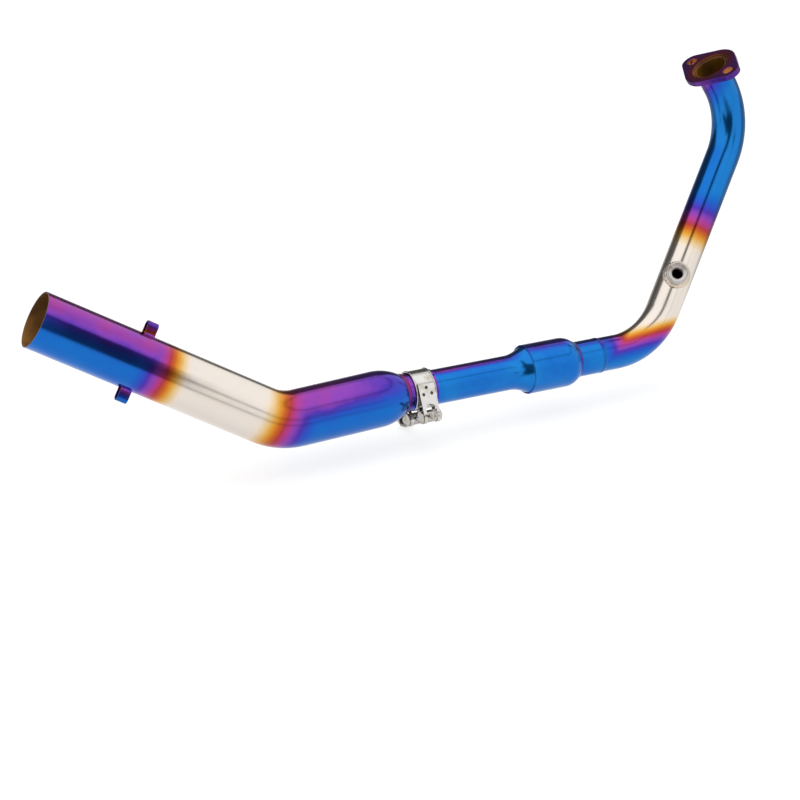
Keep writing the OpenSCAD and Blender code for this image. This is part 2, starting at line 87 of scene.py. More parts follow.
def tint(code: str) -> tuple[float, float, float, float]:
    """Turns a hex colour into linear light.

    Args:
        code: red, green and blue, such as "e0a030".

    Returns:
        Linear red, green and blue, and an alpha of 1.
    """
    parts = [int(code[i:i + 2], 16) / 255 for i in (0, 2, 4)]
    linear = [p / 12.92 if p <= 0.04045 else ((p + 0.055) / 1.055) ** 2.4 for p in parts]
    return (*linear, 1.0)


# Route of the pipes


def shifted(place: Matrix, x: float = 0.0, y: float = 0.0, z: float = 0.0) -> Matrix:
    """Moves a frame along its own axes."""
    return place @ Matrix.Translation((x, y, z))


def turned(place: Matrix, angle: float, axis: str) -> Matrix:
    """Turns a frame about one of its own axes."""
    return place @ Matrix.Rotation(radians(angle), 4, axis)


@dataclass(frozen=True)
class Bend:
    """One bend of the bending table."""

    radius: float
    angle: float
    roll: float

    def end(self, start: Matrix) -> Matrix:
        """Frame at the end of the bend, with +Z along the pipe."""
        rolled = shifted(turned(start, self.roll, "Z"), x=self.radius)
        return shifted(turned(rolled, self.angle, "Y"), x=-self.radius)


@dataclass(frozen=True)
class Route:
    """The bending table, from the port to the outlet, and the frames along it."""

    port_lean: float = 28
    port_side_lean: float = 7
    port_lead: float = 23 * MM
    first_bend: Bend = Bend(64 * MM, 63.5, -43)
    head_straight: float = 158 * MM
    second_bend: Bend = Bend(67 * MM, 57, 13.5)
    mitre_pos: float = 222 * MM
    mitre: float = 2
    link_lead: float = 103 * MM
    link_bend: Bend = Bend(58 * MM, 33.5, 1)

    def at_port(self) -> Matrix:
        """Frame on the flange's face, with +Z into the pipe."""
        lean = turned(Matrix.Identity(4), self.port_side_lean, "X")
        return turned(lean, 180 - self.port_lean, "Y")

    def at_head_straight(self) -> Matrix:
        """Frame at the start of the straight between the two bends."""
        return self.first_bend.end(shifted(self.at_port(), z=self.port_lead))

    def at_middle_run(self) -> Matrix:
        """Frame at the end of the second bend, along the chamber."""
        return self.second_bend.end(shifted(self.at_head_straight(), z=self.head_straight))

    def at_link(self) -> Matrix:
        """Frame at the mitred joint, along the link pipe."""
        joint = turned(shifted(self.at_middle_run(), z=self.mitre_pos), 180, "Z")
        return turned(turned(joint, self.mitre, "Y"), -180, "Z")

    def at_rear_straight(self) -> Matrix:
        """Frame at the start of the last straight."""
        return self.link_bend.end(shifted(self.at_link(), z=self.link_lead))


ROUTE = Route()


def start_of(place: Matrix) -> tuple[float, float, float]:
    """Origin of a frame as three numbers."""
    return tuple(place.translation)


def along(place: Matrix) -> tuple[float, float, float]:
    """Direction of a frame's +Z axis as three numbers."""
    return tuple(place.col[2].xyz)


# Shader wiring


class Wiring:
    """Adds nodes to one node tree and joins their sockets."""

    def __init__(self, tree: bpy.types.NodeTree) -> None:
        """Keeps the tree that the nodes go into."""
        self.tree = tree

    def node(self, kind: str, **settings: object) -> bpy.types.Node:
        """Adds a node.

        Args:
            kind: the node's type without its "ShaderNode".
            settings: properties of the node.

        Returns:
            The new node.
        """
        made = self.tree.nodes.new("ShaderNode" + kind)
        for name, value in settings.items():
            setattr(made, name, value)
        return made

    def feed(self, socket: Socket, value: Feed) -> None:
        """Joins a socket to another, or sets its value.

        Args:
            socket: the input that is fed.
            value: an output socket, or the value to set.
        """
        if isinstance(value, Socket):
            self.tree.links.new(value, socket)
        else:
            socket.default_value = value

    def fill(self, node: bpy.types.Node, **values: Feed) -> bpy.types.Node:
        """Feeds a node's inputs by name.

        Args:
            node: the node.
            values: what each input gets, with _ for a space in its name.

        Returns:
            The same node.
        """
        for name, value in values.items():
            self.feed(node.inputs[name.replace("_", " ")], value)
        return node

    def math(self, operation: str, *values: Feed, clamp: bool = False) -> Socket:
        """Adds a Math node.

        Args:
            operation: what the node works out.
            values: up to three values.
            clamp: keep the result from 0 to 1.

        Returns:
            The result.
        """
        made = self.node("Math", operation=operation, use_clamp=clamp)
        for socket, value in zip(made.inputs, values):
            self.feed(socket, value)
        return made.outputs[0]

    def times(self, a: Feed, b: Feed) -> Socket:
        """Product of two values."""
        return self.math("MULTIPLY", a, b)

    def less(self, a: Feed, b: Feed) -> Socket:
        """What is left of a after b is taken away."""
        return self.math("SUBTRACT", a, b)

    def off(self, a: Feed, b: Feed) -> Socket:
        """Distance between two values."""
        return self.math("ABSOLUTE", self.less(a, b))

    def vector(self, operation: str, *values: Feed) -> bpy.types.Node:
        """Adds a Vector Math node.

        Args:
            operation: what the node works out.
            values: one or two vectors.

        Returns:
            The node.
        """
        made = self.node("VectorMath", operation=operation)
        for socket, value in zip(made.inputs, values):
            self.feed(socket, value)
        return made

    def span(self, value: Feed, low: Feed, high: Feed, to_low: Feed = 0.0, to_high: Feed = 1.0,
             smooth: bool = False) -> Socket:
        """Maps a value from one range to another, clamped.

        Args:
            value: what is mapped.
            low: value that gives to_low.
            high: value that gives to_high.
            to_low: result at low.
            to_high: result at high.
            smooth: ease in and out instead of a straight line.

        Returns:
            The mapped value.
        """
        made = self.node("MapRange", interpolation_type="SMOOTHSTEP" if smooth else "LINEAR")
        self.fill(made, Value=value, From_Min=low, From_Max=high, To_Min=to_low, To_Max=to_high)
        return made.outputs["Result"]

    def noise(self, place: Feed, scale: Feed, detail: float = 2.0) -> Socket:
        """Value of a noise texture."""
        made = self.node("TexNoise")
        return self.fill(made, Vector=place, Scale=scale, Detail=detail).outputs[0]

    def axes(self, vector: Socket) -> Sequence[Socket]:
        """The x, y and z of a vector."""
        return self.fill(self.node("SeparateXYZ"), Vector=vector).outputs

    def ramp(self, value: Feed, stops: Sequence[tuple[float, str]]) -> Socket:
        """Adds a colour ramp.

        Args:
            value: place on the ramp, from 0 to 1.
            stops: the ramp's places with their hex colours.

        Returns:
            The colour.
        """
        made = self.node("ValToRGB")
        points = made.color_ramp.elements
        while len(points) < len(stops):
            points.new(0.5)
        for point, (place, code) in zip(points, stops):
            point.position = place
            point.color = tint(code)
        self.feed(made.inputs[0], value)
        return made.outputs[0]

    def mix(self, share: Feed, a: Feed, b: Feed, blend: str = "MIX") -> Socket:
        """Mixes two colours.

        Args:
            share: how much of b is taken.
            a: the first colour.
            b: the second colour.
            blend: how b meets a.

        Returns:
            The mixed colour.
        """
        made = self.node("Mix", data_type="RGBA", blend_type=blend)
        for place, value in ((0, share), (6, a), (7, b)):
            self.feed(made.inputs[place], value)
        return made.outputs[2]

    def group(self, tree: bpy.types.NodeTree, **values: Feed) -> bpy.types.Node:
        """Places a node group and feeds its inputs, with _ for a space in a name."""
        return self.fill(self.node("Group", node_tree=tree), **values)


def shader_group(name: str, inputs: dict[str, Feed],
                 outputs: dict[str, str]) -> tuple[Wiring, bpy.types.Node, bpy.types.Node]:
    """Starts a shader node group.

    Args:
        name: the group's name.
        inputs: first value of each input, by name: a number or a vector.
        outputs: kind of each output, by name.

    Returns:
        The wiring of the group, its input node and its output node.
    """
    tree = bpy.data.node_groups.new(name, "ShaderNodeTree")
    for title, value in inputs.items():
        kind = "Float" if isinstance(value, float) else "Vector"
        made = tree.interface.new_socket(title, in_out="INPUT", socket_type="NodeSocket" + kind)
        made.default_value = value
    for title, kind in outputs.items():
        tree.interface.new_socket(title, in_out="OUTPUT", socket_type="NodeSocket" + kind)
    return Wiring(tree), tree.nodes.new("NodeGroupInput"), tree.nodes.new("NodeGroupOutput")


class Effects:
    """Shader node groups that several finishes share, each built once."""

    FILM = (
        (0.00, "eae2db"), (0.07, "eedeca"), (0.15, "e8c68c"), (0.22, "e2a136"),
        (0.30, "cc661c"), (0.37, "b33838"), (0.45, "b03a8e"), (0.53, "8a40b2"),
        (0.61, "4a2fae"), (0.70, "2350c4"), (0.82, "086bc8"), (1.00, "188cd4"),
    )

    def __init__(self) -> None:
        """Builds all the groups."""
        self.run = self.build_run()
        self.facing = self.build_facing()
        self.heat = self.build_heat()
        self.polish = self.build_polish()

    def build_run(self) -> bpy.types.NodeTree:
        """Distance of a point along a straight line, and from it.

        Returns:
            The group.
        """
        wire, given, result = shader_group(
            "Distance on a run", {"Origin": (0, 0, 0), "Direction": (0, 0, 1)},
            {"Along": "Float", "Away": "Float"})
        place = wire.node("TexCoord").outputs["Object"]
        offset = wire.vector("SUBTRACT", place, given.outputs["Origin"]).outputs["Vector"]
        ahead = wire.vector("DOT_PRODUCT", offset, given.outputs["Direction"])
        across = wire.vector("CROSS_PRODUCT", offset, given.outputs["Direction"])
        away = wire.vector("LENGTH", across.outputs["Vector"])
        wire.fill(result, Along=ahead.outputs["Value"], Away=away.outputs["Value"])
        return wire.tree

    def build_facing(self) -> bpy.types.NodeTree:
        """How far a surface faces a direction, from 0, away from it, to 1.

        Returns:
            The group.
        """
        wire, given, result = shader_group("Facing", {"Towards": (0, 0, 1)}, {"Share": "Float"})
        normal = wire.node("TexCoord").outputs["Normal"]
        turn = wire.vector("DOT_PRODUCT", normal, given.outputs["Towards"]).outputs["Value"]
        wire.fill(result, Share=wire.span(turn, -1.0, 1.0))
        return wire.tree

    def build_heat(self) -> bpy.types.NodeTree:
        """Colour of steel under an oxide film, from bare metal to bright blue.

        Returns:
            The group.
        """
        wire, given, result = shader_group(
            "Heat tint",
            {"Reach": 1.0, "Upper": 0.5, "Turn Low": 0.3, "Turn High": 0.95, "Film Top": 0.6,
             "Film Bottom": 0.8, "Mottle": 0.05}, {"Color": "Color"})
        value = given.outputs
        place = wire.node("TexCoord").outputs["Object"]
        full = wire.span(value["Upper"], value["Turn Low"], value["Turn High"],
                         value["Film Bottom"], value["Film Top"], smooth=True)
        clouds = wire.less(wire.noise(place, 34.0, 3.0), 0.5)
        specks = wire.less(wire.noise(place, 190.0), 0.5)
        drift = wire.times(wire.math("ADD", clouds, wire.times(specks, 0.25)), value["Mottle"])
        reach = wire.math("ADD", value["Reach"], wire.times(drift, 0.4))
        film = wire.math("SMOOTH_MIN", wire.math("ADD", full, drift), reach, 0.08, clamp=True)
        wire.fill(result, Color=wire.ramp(film, self.FILM))
        return wire.tree

    def build_polish(self) -> bpy.types.NodeTree:
        """Fine polishing marks and soft smears: a height and a change of roughness.

        Returns:
            The group.
        """
        wire, given, result = shader_group(
            "Polish marks", {"Grain": 900.0}, {"Height": "Float", "Smear": "Float"})
        place = wire.node("TexCoord").outputs["Object"]
        wire.fill(result, Height=wire.noise(place, given.outputs["Grain"], 4.0),
                  Smear=wire.span(wire.noise(place, 60.0, 4.0), 0.35, 0.7))
        return wire.tree


# Finishes


@dataclass(frozen=True)
class Fade:
    """One place where the oxide film grows along a straight direction.

    The film is absent at clear and would be full at full, both in metres from the start.
    """

    start: tuple[float, float, float]
    towards: tuple[float, float, float]
    clear: float
    full: float

    def film(self, wire: Wiring, effects: Effects) -> Socket:
        """Film that the heat reaches.

        Args:
            wire: the material's wiring.
            effects: the shared node groups.

        Returns:
            The film at each point, from 0 to 1.
        """
        run = wire.group(effects.run, Origin=self.start, Direction=self.towards)
        low, high, ends = ((self.clear, self.full, (0.0, 1.0)) if self.clear < self.full
                           else (self.full, self.clear, (1.0, 0.0)))
        return wire.span(run.outputs["Along"], low, high, *ends)


@dataclass(frozen=True)
class Spread:
    """The oxide film grows with the distance from a pipe's axis."""

    place: Matrix
    clear: float
    full: float

    def film(self, wire: Wiring, effects: Effects) -> Socket:
        """Film that the heat reaches at each point, from 0 to 1."""
        run = wire.group(effects.run, Origin=start_of(self.place), Direction=along(self.place))
        return wire.span(run.outputs["Away"], self.clear, self.full)


def fade_on(place: Matrix, clear: float, full: float) -> Fade:
    """Fade along the +Z axis of a frame."""
    return Fade(start_of(place), along(place), clear, full)


@dataclass(frozen=True)
class Bore:
    """The inside of a pipe, with two browns of its own and a dull oxide."""

    place: Matrix
    radius: float
    start: float
    end: float
    codes: tuple[str, str]
    oxide: float = 0.75

    def inside(self, wire: Wiring, effects: Effects) -> Socket:
        """Mask of the bore.

        Args:
            wire: the material's wiring.
            effects: the shared node groups.

        Returns:
            1 within the bore and 0 elsewhere.
        """
        run = wire.group(effects.run, Origin=start_of(self.place), Direction=along(self.place))
        near = wire.math("LESS_THAN", run.outputs["Away"], self.radius)
        after = wire.math("GREATER_THAN", run.outputs["Along"], self.start)
        before = wire.math("LESS_THAN", run.outputs["Along"], self.end)
        return wire.times(near, wire.times(after, before))


@dataclass(frozen=True)
class Steel:
    """Metal with fine polishing marks, which the two finishes below colour."""

    name: str
    roughness: float = 0.17
    smear: float = 0.06
    grain: float = 900.0
    bump: float = 0.02

    def start(self, effects: Effects) -> tuple[Finish, Wiring, bpy.types.Node, Socket]:
        """Starts the material.

        Args:
            effects: the shared node groups.

        Returns:
            The material, its wiring, its shader and its roughness.
        """
        finish = bpy.data.materials.new(self.name)
        finish.use_nodes = True
        wire = Wiring(finish.node_tree)
        shader = finish.node_tree.nodes["Principled BSDF"]
        polish = wire.group(effects.polish, Grain=self.grain)
        bump = wire.fill(wire.node("Bump"), Strength=self.bump, Distance=0.2 * MM,
                         Height=polish.outputs["Height"])
        wire.fill(shader, Normal=bump.outputs["Normal"])
        rough = wire.span(polish.outputs["Smear"], 0.0, 1.0, self.roughness,
                          self.roughness + self.smear)
        return finish, wire, shader, rough


@dataclass(frozen=True)
class TintedSteel(Steel):
    """Polished steel with a heat tint that fades along the pipe and turns with its sides."""

    fades: tuple[Fade | Spread, ...] = ()
    limits: tuple[Fade, ...] = ()
    thicker: Fade | None = None
    film_far: float = 0.62
    bores: tuple[Bore, ...] = ()
    film_top: float = 0.62
    film_bottom: float = 0.86
    turn_low: float = 0.3
    turn_high: float = 0.95
    mottle: float = 0.1
    shade: float = 1.0
    blend: float = 0.06
    bore_roughness: float = 0.4
    coat: float = 0.25
    coat_roughness: float = 0.12

    def reach(self, wire: Wiring, effects: Effects) -> Feed:
        """Film that the heat reaches from all sides.

        Args:
            wire: the material's wiring.
            effects: the shared node groups.

        Returns:
            The film at each point, from 0 to 1.
        """
        def most(reached: Feed, fades: Sequence[Fade | Spread]) -> Feed:
            """Finds the largest film.

            Args:
                reached: the least that it can be.
                fades: the films that are joined.

            Returns:
                The film at each point.
            """
            for fade in fades:
                reached = wire.math("SMOOTH_MAX", reached, fade.film(wire, effects), self.blend)
            return reached

        reached = most(0.0 if self.fades else 1.0, self.fades)
        return wire.math("MINIMUM", reached, most(0.0, self.limits)) if self.limits else reached

    def build(self, effects: Effects) -> Finish:
        """Builds the material.

        Args:
            effects: the shared node groups.

        Returns:
            The material.
        """
        finish, wire, shader, rough = self.start(effects)
        upper = wire.group(effects.facing, Towards=(0.0, 0.0, 1.0)).outputs["Share"]
        top: Feed = self.film_top
        if self.thicker:
            top = wire.span(self.thicker.film(wire, effects), 0.0, 1.0, top, self.film_far)
        heat = wire.group(effects.heat, Reach=self.reach(wire, effects), Upper=upper,
                          Turn_Low=self.turn_low, Turn_High=self.turn_high, Film_Top=top,
                          Film_Bottom=self.film_bottom, Mottle=self.mottle)
        colour = heat.outputs["Color"]
        if self.shade < 1:
            colour = wire.mix(1.0, colour, (self.shade, self.shade, self.shade, 1), "MULTIPLY")
        place = wire.node("TexCoord").outputs["Object"]
        metal: Feed = 1.0
        for bore in self.bores:
            inside = bore.inside(wire, effects)
            soot_and_shade = wire.span(wire.noise(place, 45.0, 3.0), 0.35, 0.65)
            colour = wire.mix(inside, colour, wire.mix(soot_and_shade, *map(tint, bore.codes)))
            rough = wire.math("MAXIMUM", rough, wire.times(inside, self.bore_roughness))
            metal = wire.less(metal, wire.times(inside, bore.oxide))
        wire.fill(shader, Base_Color=colour, Roughness=rough, Metallic=metal,
                  Coat_Weight=self.coat, Coat_Roughness=self.coat_roughness)
        return finish


@dataclass(frozen=True, kw_only=True)
class BrightSteel(Steel):
    """Bare bright steel with fine grain and slight stains, and painted shade that darkens its
    creases.
    """

    clean: str
    stained: str
    smear: float = 0.14
    grain: float = 1400.0
    bump: float = 0.05
    stain_scale: float = 120.0
    # Reach of the painted shade in creases (0 leaves it out), and the dark colour that it paints.
    crease: float = 0.0
    crease_shade_code: str = "3a332c"

    def build(self, effects: Effects) -> Finish:
        """Builds the material.

        Args:
            effects: the shared node groups.

        Returns:
            The material.
        """
        finish, wire, shader, rough = self.start(effects)
        place = wire.node("TexCoord").outputs["Object"]
        stain = wire.span(wire.noise(place, self.stain_scale, 4.0), 0.5, 0.72)
        colour = wire.mix(stain, tint(self.clean), tint(self.stained))
        # Painted shade: ambient occlusion darkens the colour in creases and between parts.
        if self.crease:
            shelter = wire.fill(wire.node("AmbientOcclusion", samples=8), Distance=self.crease)
            soot_and_shade = wire.span(shelter.outputs["AO"], 0.25, 0.85, 0.25, 1.0)
            colour = wire.mix(soot_and_shade, tint(self.crease_shade_code), colour)
        wire.fill(shader, Base_Color=colour, Roughness=rough, Metallic=1.0)
        return finish


# Meshes


class Skin:
    """Points and faces of a piece, gathered grid by grid."""

    def __init__(self) -> None:
        """Starts with no points."""
        self.points: list[Vector] = []
        self.faces: list[tuple[int, ...]] = []

    def add(self, rows: Sequence[Sequence[Vector]], row_loop: bool = False,
            column_loop: bool = False) -> "Skin":
        """Adds a grid of points.

        Args:
            rows: the points, row by row.
            row_loop: the last row joins the first.
            column_loop: each row joins its own start.

        Returns:
            The same skin.
        """
        start, height, width = len(self.points), len(rows), len(rows[0])
        for i in range(height if row_loop else height - 1):
            here, ahead = start + i * width, start + (i + 1) % height * width
            for j in range(width if column_loop else width - 1):
                beside = (j + 1) % width
                self.faces.append((here + j, here + beside, ahead + beside, ahead + j))
        self.points += [point for row in rows for point in row]
        return self


def reshape(mesh: bpy.types.Mesh, edit: Callable[[bmesh.types.BMesh], object]) -> None:
    """Edits a mesh.

    Args:
        mesh: the mesh.
        edit: what is done to it.
    """
    made = bmesh.new()
    made.from_mesh(mesh)
    edit(made)
    made.to_mesh(mesh)
    made.free()


def face_outward(made: bmesh.types.BMesh) -> None:
    """Turns all faces outward."""
    bmesh.ops.recalc_face_normals(made, faces=made.faces)


def settle(name: str, mesh: bpy.types.Mesh, finish: Finish,
           instead_of: Sequence[str], crease: float) -> bpy.types.Object:
    """Shades a finished mesh, adds it to the scene and ties it to the header's body.

    Args:
        name: the piece's name.
        mesh: its mesh.
        finish: its material.
        instead_of: CAD nodes that the piece stands for.
        crease: edges sharper than this stay sharp.

    Returns:
        The new object.
    """
    mesh.materials.clear()
    mesh.materials.append(finish)
    mesh.shade_smooth()
    mesh.set_sharp_from_angle(angle=radians(crease))
    piece = bpy.data.objects.new(name, mesh)
    bpy.context.scene.collection.objects.link(piece)
    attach(piece, "root")
    if instead_of:
        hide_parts(*instead_of)
    log.info("%s: %d faces", name, len(mesh.polygons))
    return piece


def new_piece(name: str, skin: Skin, finish: Finish,
              instead_of: Sequence[str] = (), crease: float = 35) -> bpy.types.Object:
    """Makes a piece of the header from points and faces.

    Args:
        name: the piece's name.
        skin: its points and faces.
        finish: its material.
        instead_of: CAD nodes that the piece stands for.
        crease: edges sharper than this stay sharp.

    Returns:
        The new object.
    """
    mesh = bpy.data.meshes.new(name)
    mesh.from_pydata([tuple(p) for p in skin.points], [], skin.faces)
    reshape(mesh, face_outward)
    return settle(name, mesh, finish, instead_of, crease)


def dress(node: str, finish: Finish) -> None:
    """Gives a CAD node a finish, and leaves its shape alone.

    Args:
        node: the node's name.
        finish: its material.
    """
    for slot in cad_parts[node].material_slots:
        slot.material = finish
    log.info("%s: dressed in %s", node, finish.name)


@dataclass(frozen=True)
class Softening:
    """Rounds the sharp edges of a CAD node, whose shape stays the same.

    Edges sharper than sharp are rounded. Points closer than merge are joined first, and
    faces that turn less than flat become one.
    """

    width: float
    steps: int = 2
    sharp: float = 32
    merge: float = 0.002 * MM
    flat: float = 0.6
    crease: float = 50
    area_weight: int = 100

    def round_edges(self, made: bmesh.types.BMesh) -> None:
        """Cleans the mesh and rounds its edges.

        Args:
            made: the mesh.
        """
        bmesh.ops.remove_doubles(made, verts=made.verts, dist=self.merge)
        bmesh.ops.dissolve_limit(made, angle_limit=radians(self.flat), verts=made.verts,
                                 edges=made.edges)
        edges = [e for e in made.edges if len(e.link_faces) == 2
                 and e.calc_face_angle(0.0) > radians(self.sharp)]
        bmesh.ops.bevel(made, geom=edges, offset=self.width, segments=self.steps, profile=0.5,
                        affect="EDGES", clamp_overlap=True)
        face_outward(made)

    def build(self, name: str, node: str, finish: Finish, slot: Material) -> None:
        """Builds the piece that stands for the node.

        Args:
            name: the piece's name.
            node: the CAD node.
            finish: the piece's material.
            slot: not used.
        """
        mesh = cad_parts[node].data.copy()
        mesh.name = name
        for layer in ("sharp_edge", "sharp_face", "custom_normal"):
            if layer in mesh.attributes:
                mesh.attributes.remove(mesh.attributes[layer])
        reshape(mesh, self.round_edges)
        piece = settle(name, mesh, finish, (node,), self.crease)
        level = piece.modifiers.new("level faces", "WEIGHTED_NORMAL")
        level.weight = self.area_weight
        level.keep_sharp = True


def polar(place: Matrix, radius: float, angle: float, height: float) -> Vector:
    """Point at a radius, an angle in radians and a height on a frame's +Z axis."""
    return place @ Vector((radius * cos(angle), radius * sin(angle), height))


def direction(place: Matrix, angle: float, outward: float, upward: float) -> Vector:
    """Unit direction in a frame, with parts outward from its axis and along it."""
    local = Vector((outward * cos(angle), outward * sin(angle), upward))
    return (place.to_3x3() @ local).normalized()


def angles(steps: int) -> list[float]:
    """Evenly spaced angles of one full turn."""
    return [2 * pi * j / steps for j in range(steps)]


def ring(place: Matrix, steps: int, height: float, radius: Radius) -> list[Vector]:
    """Points round a frame's +Z axis, at a radius that may change with the angle."""
    return [polar(place, radius(a) if callable(radius) else radius, a, height)
            for a in angles(steps)]


def ring_edges(place: Matrix, first: Range, last: Range, outward: float,
               upward: float) -> Edges:
    """Edges of a bead round a pipe.

    Args:
        place: frame on the pipe's axis.
        first: radius and height of the bead's first edge.
        last: radius and height of its last edge.
        outward: part of the bead's direction away from the axis.
        upward: part of its direction along the axis.

    Returns:
        Both edges and the outward direction at a share of the turn.
    """
    def edges(u: float) -> tuple[Vector, Vector, Vector]:
        """Both edges and the outward direction at a share of the turn."""
        a = 2 * pi * u
        return (polar(place, first[0], a, first[1]), polar(place, last[0], a, last[1]),
                direction(place, a, outward, upward))
    return edges


@dataclass(frozen=True)
class Wave:
    """A slow change along a bead."""

    turns: int
    size: float
    seeds: int = 1

    def at(self, u: float, seed: float) -> float:
        """The change at a share of the bead's length."""
        return self.size * sin(2 * pi * self.turns * u + self.seeds * seed)


@dataclass(frozen=True)
class WeldBead:
    """A weld bead of overlapping ripples, laid from one edge to the other."""

    ripples: int
    bulge: float
    ripple_height: float = 0.16 * MM
    seed: float = 0.0
    across: int = 9
    steps_per_ripple: int = 5
    bow: float = 0.55
    sink: float = 0.12 * MM
    dome_power: float = 0.8
    ripple_power: float = 1.6
    swell: Wave = Wave(7, 0.10)
    flutter: Wave = Wave(17, 0.07, 2)
    wander: Wave = Wave(11, 0.04)
    crease: float = 70

    def points(self, edges: Edges, closed: bool) -> list[list[Vector]]:
        """Rows of points across the bead.

        Args:
            edges: gives both edges and the outward direction at a share of the length.
            closed: the bead joins its own start.

        Returns:
            One row of points for each step along the bead.
        """
        steps = self.ripples * self.steps_per_ripple
        rows = []
        for i in range(steps if closed else steps + 1):
            u = i / steps
            first, last, out = edges(u)
            swell = 1 + self.swell.at(u, self.seed) + self.flutter.at(u, self.seed)
            row = []
            for k in range(self.across):
                t = k / (self.across - 1)
                dome = sin(pi * t)
                wave = 0.5 + 0.5 * cos(2 * pi * (self.ripples * u + self.bow * dome))
                lift = (self.bulge * dome ** self.dome_power * swell
                        + self.ripple_height * wave ** self.ripple_power * dome - self.sink)
                wander = self.wander.at(u, self.seed) * (1 - dome)
                row.append(first.lerp(last, t + wander * (0.5 - t)) + out * lift)
            rows.append(row)
        return rows

    def build(self, name: str, edges: Edges, finish: Finish, *instead_of: str) -> None:
        """Builds a bead that joins its own start, in place of CAD nodes."""
        new_piece(name, Skin().add(self.points(edges, True), row_loop=True), finish,
                  instead_of, self.crease)


@dataclass(frozen=True)
class Thread:
    """A thread's pitch and depth."""

    pitch: float
    depth: float
    rings_per_turn: int = 6

    def rings(self, length: float) -> int:
        """Number of rings of points along a threaded length."""
        return int(length / self.pitch * self.rings_per_turn)

    def flank(self, height: float, angle: float) -> float:
        """Depth of the flank at a height and an angle."""
        return self.depth * abs(2 * ((height / self.pitch - angle / (2 * pi)) % 1) - 1)


# Sub-assemblies


@dataclass
class HeadFlange:
    """Two-bolt flange with its gasket recess, and the fillet weld behind it."""

    effects: Effects
    thickness: float = 5 * MM
    stud_line: float = 57.5
    stud_pitch: float = 58 * MM
    stud_hole: float = 5 * MM
    recess_r: float = 17.5 * MM
    bore_play: float = 0.1 * MM
    edge_round: float = 0.45 * MM
    pipe_r: float = 15.9 * MM
    weld_leg: float = 3 * MM

    def finish(self) -> Finish:
        """Deep purple tint, with browned stud holes and gasket recess.

        Returns:
            The material.
        """
        port = ROUTE.at_port()
        holes = tuple(
            Bore(shifted(turned(port, self.stud_line, "Z"), x=side * self.stud_pitch / 2),
                 self.stud_hole + self.bore_play, start=0.4 * MM, end=self.thickness,
                 codes=("a8601c", "dc9034"), oxide=0.3)
            for side in (-1, 1))
        recess = Bore(port, self.recess_r + self.bore_play, -self.bore_play, self.thickness,
                      ("4c2a10", "6e4014"))
        return TintedSteel(
            "flange tint", fades=(Spread(port, clear=6 * MM, full=42 * MM),), film_top=0.5,
            film_bottom=0.6, mottle=0.2, roughness=0.26, shade=0.62,
            bores=(*holes, recess)).build(self.effects)

    def build(self) -> None:
        """Builds the flange and its weld."""
        Softening(self.edge_round).build("flange_plate", "head_flange", self.finish(),
                                         Material.FLANGE)
        tinted = TintedSteel("flange weld tint", film_top=0.5, film_bottom=0.7, mottle=0.5,
                             roughness=0.3).build(self.effects)
        edges = ring_edges(shifted(ROUTE.at_port(), z=self.thickness),
                           (self.pipe_r + self.weld_leg, 0.0), (self.pipe_r, self.weld_leg), 1, 1)
        WeldBead(82, 0.75 * MM, seed=0.4).build("flange_bead", edges, tinted, "flange_weld")


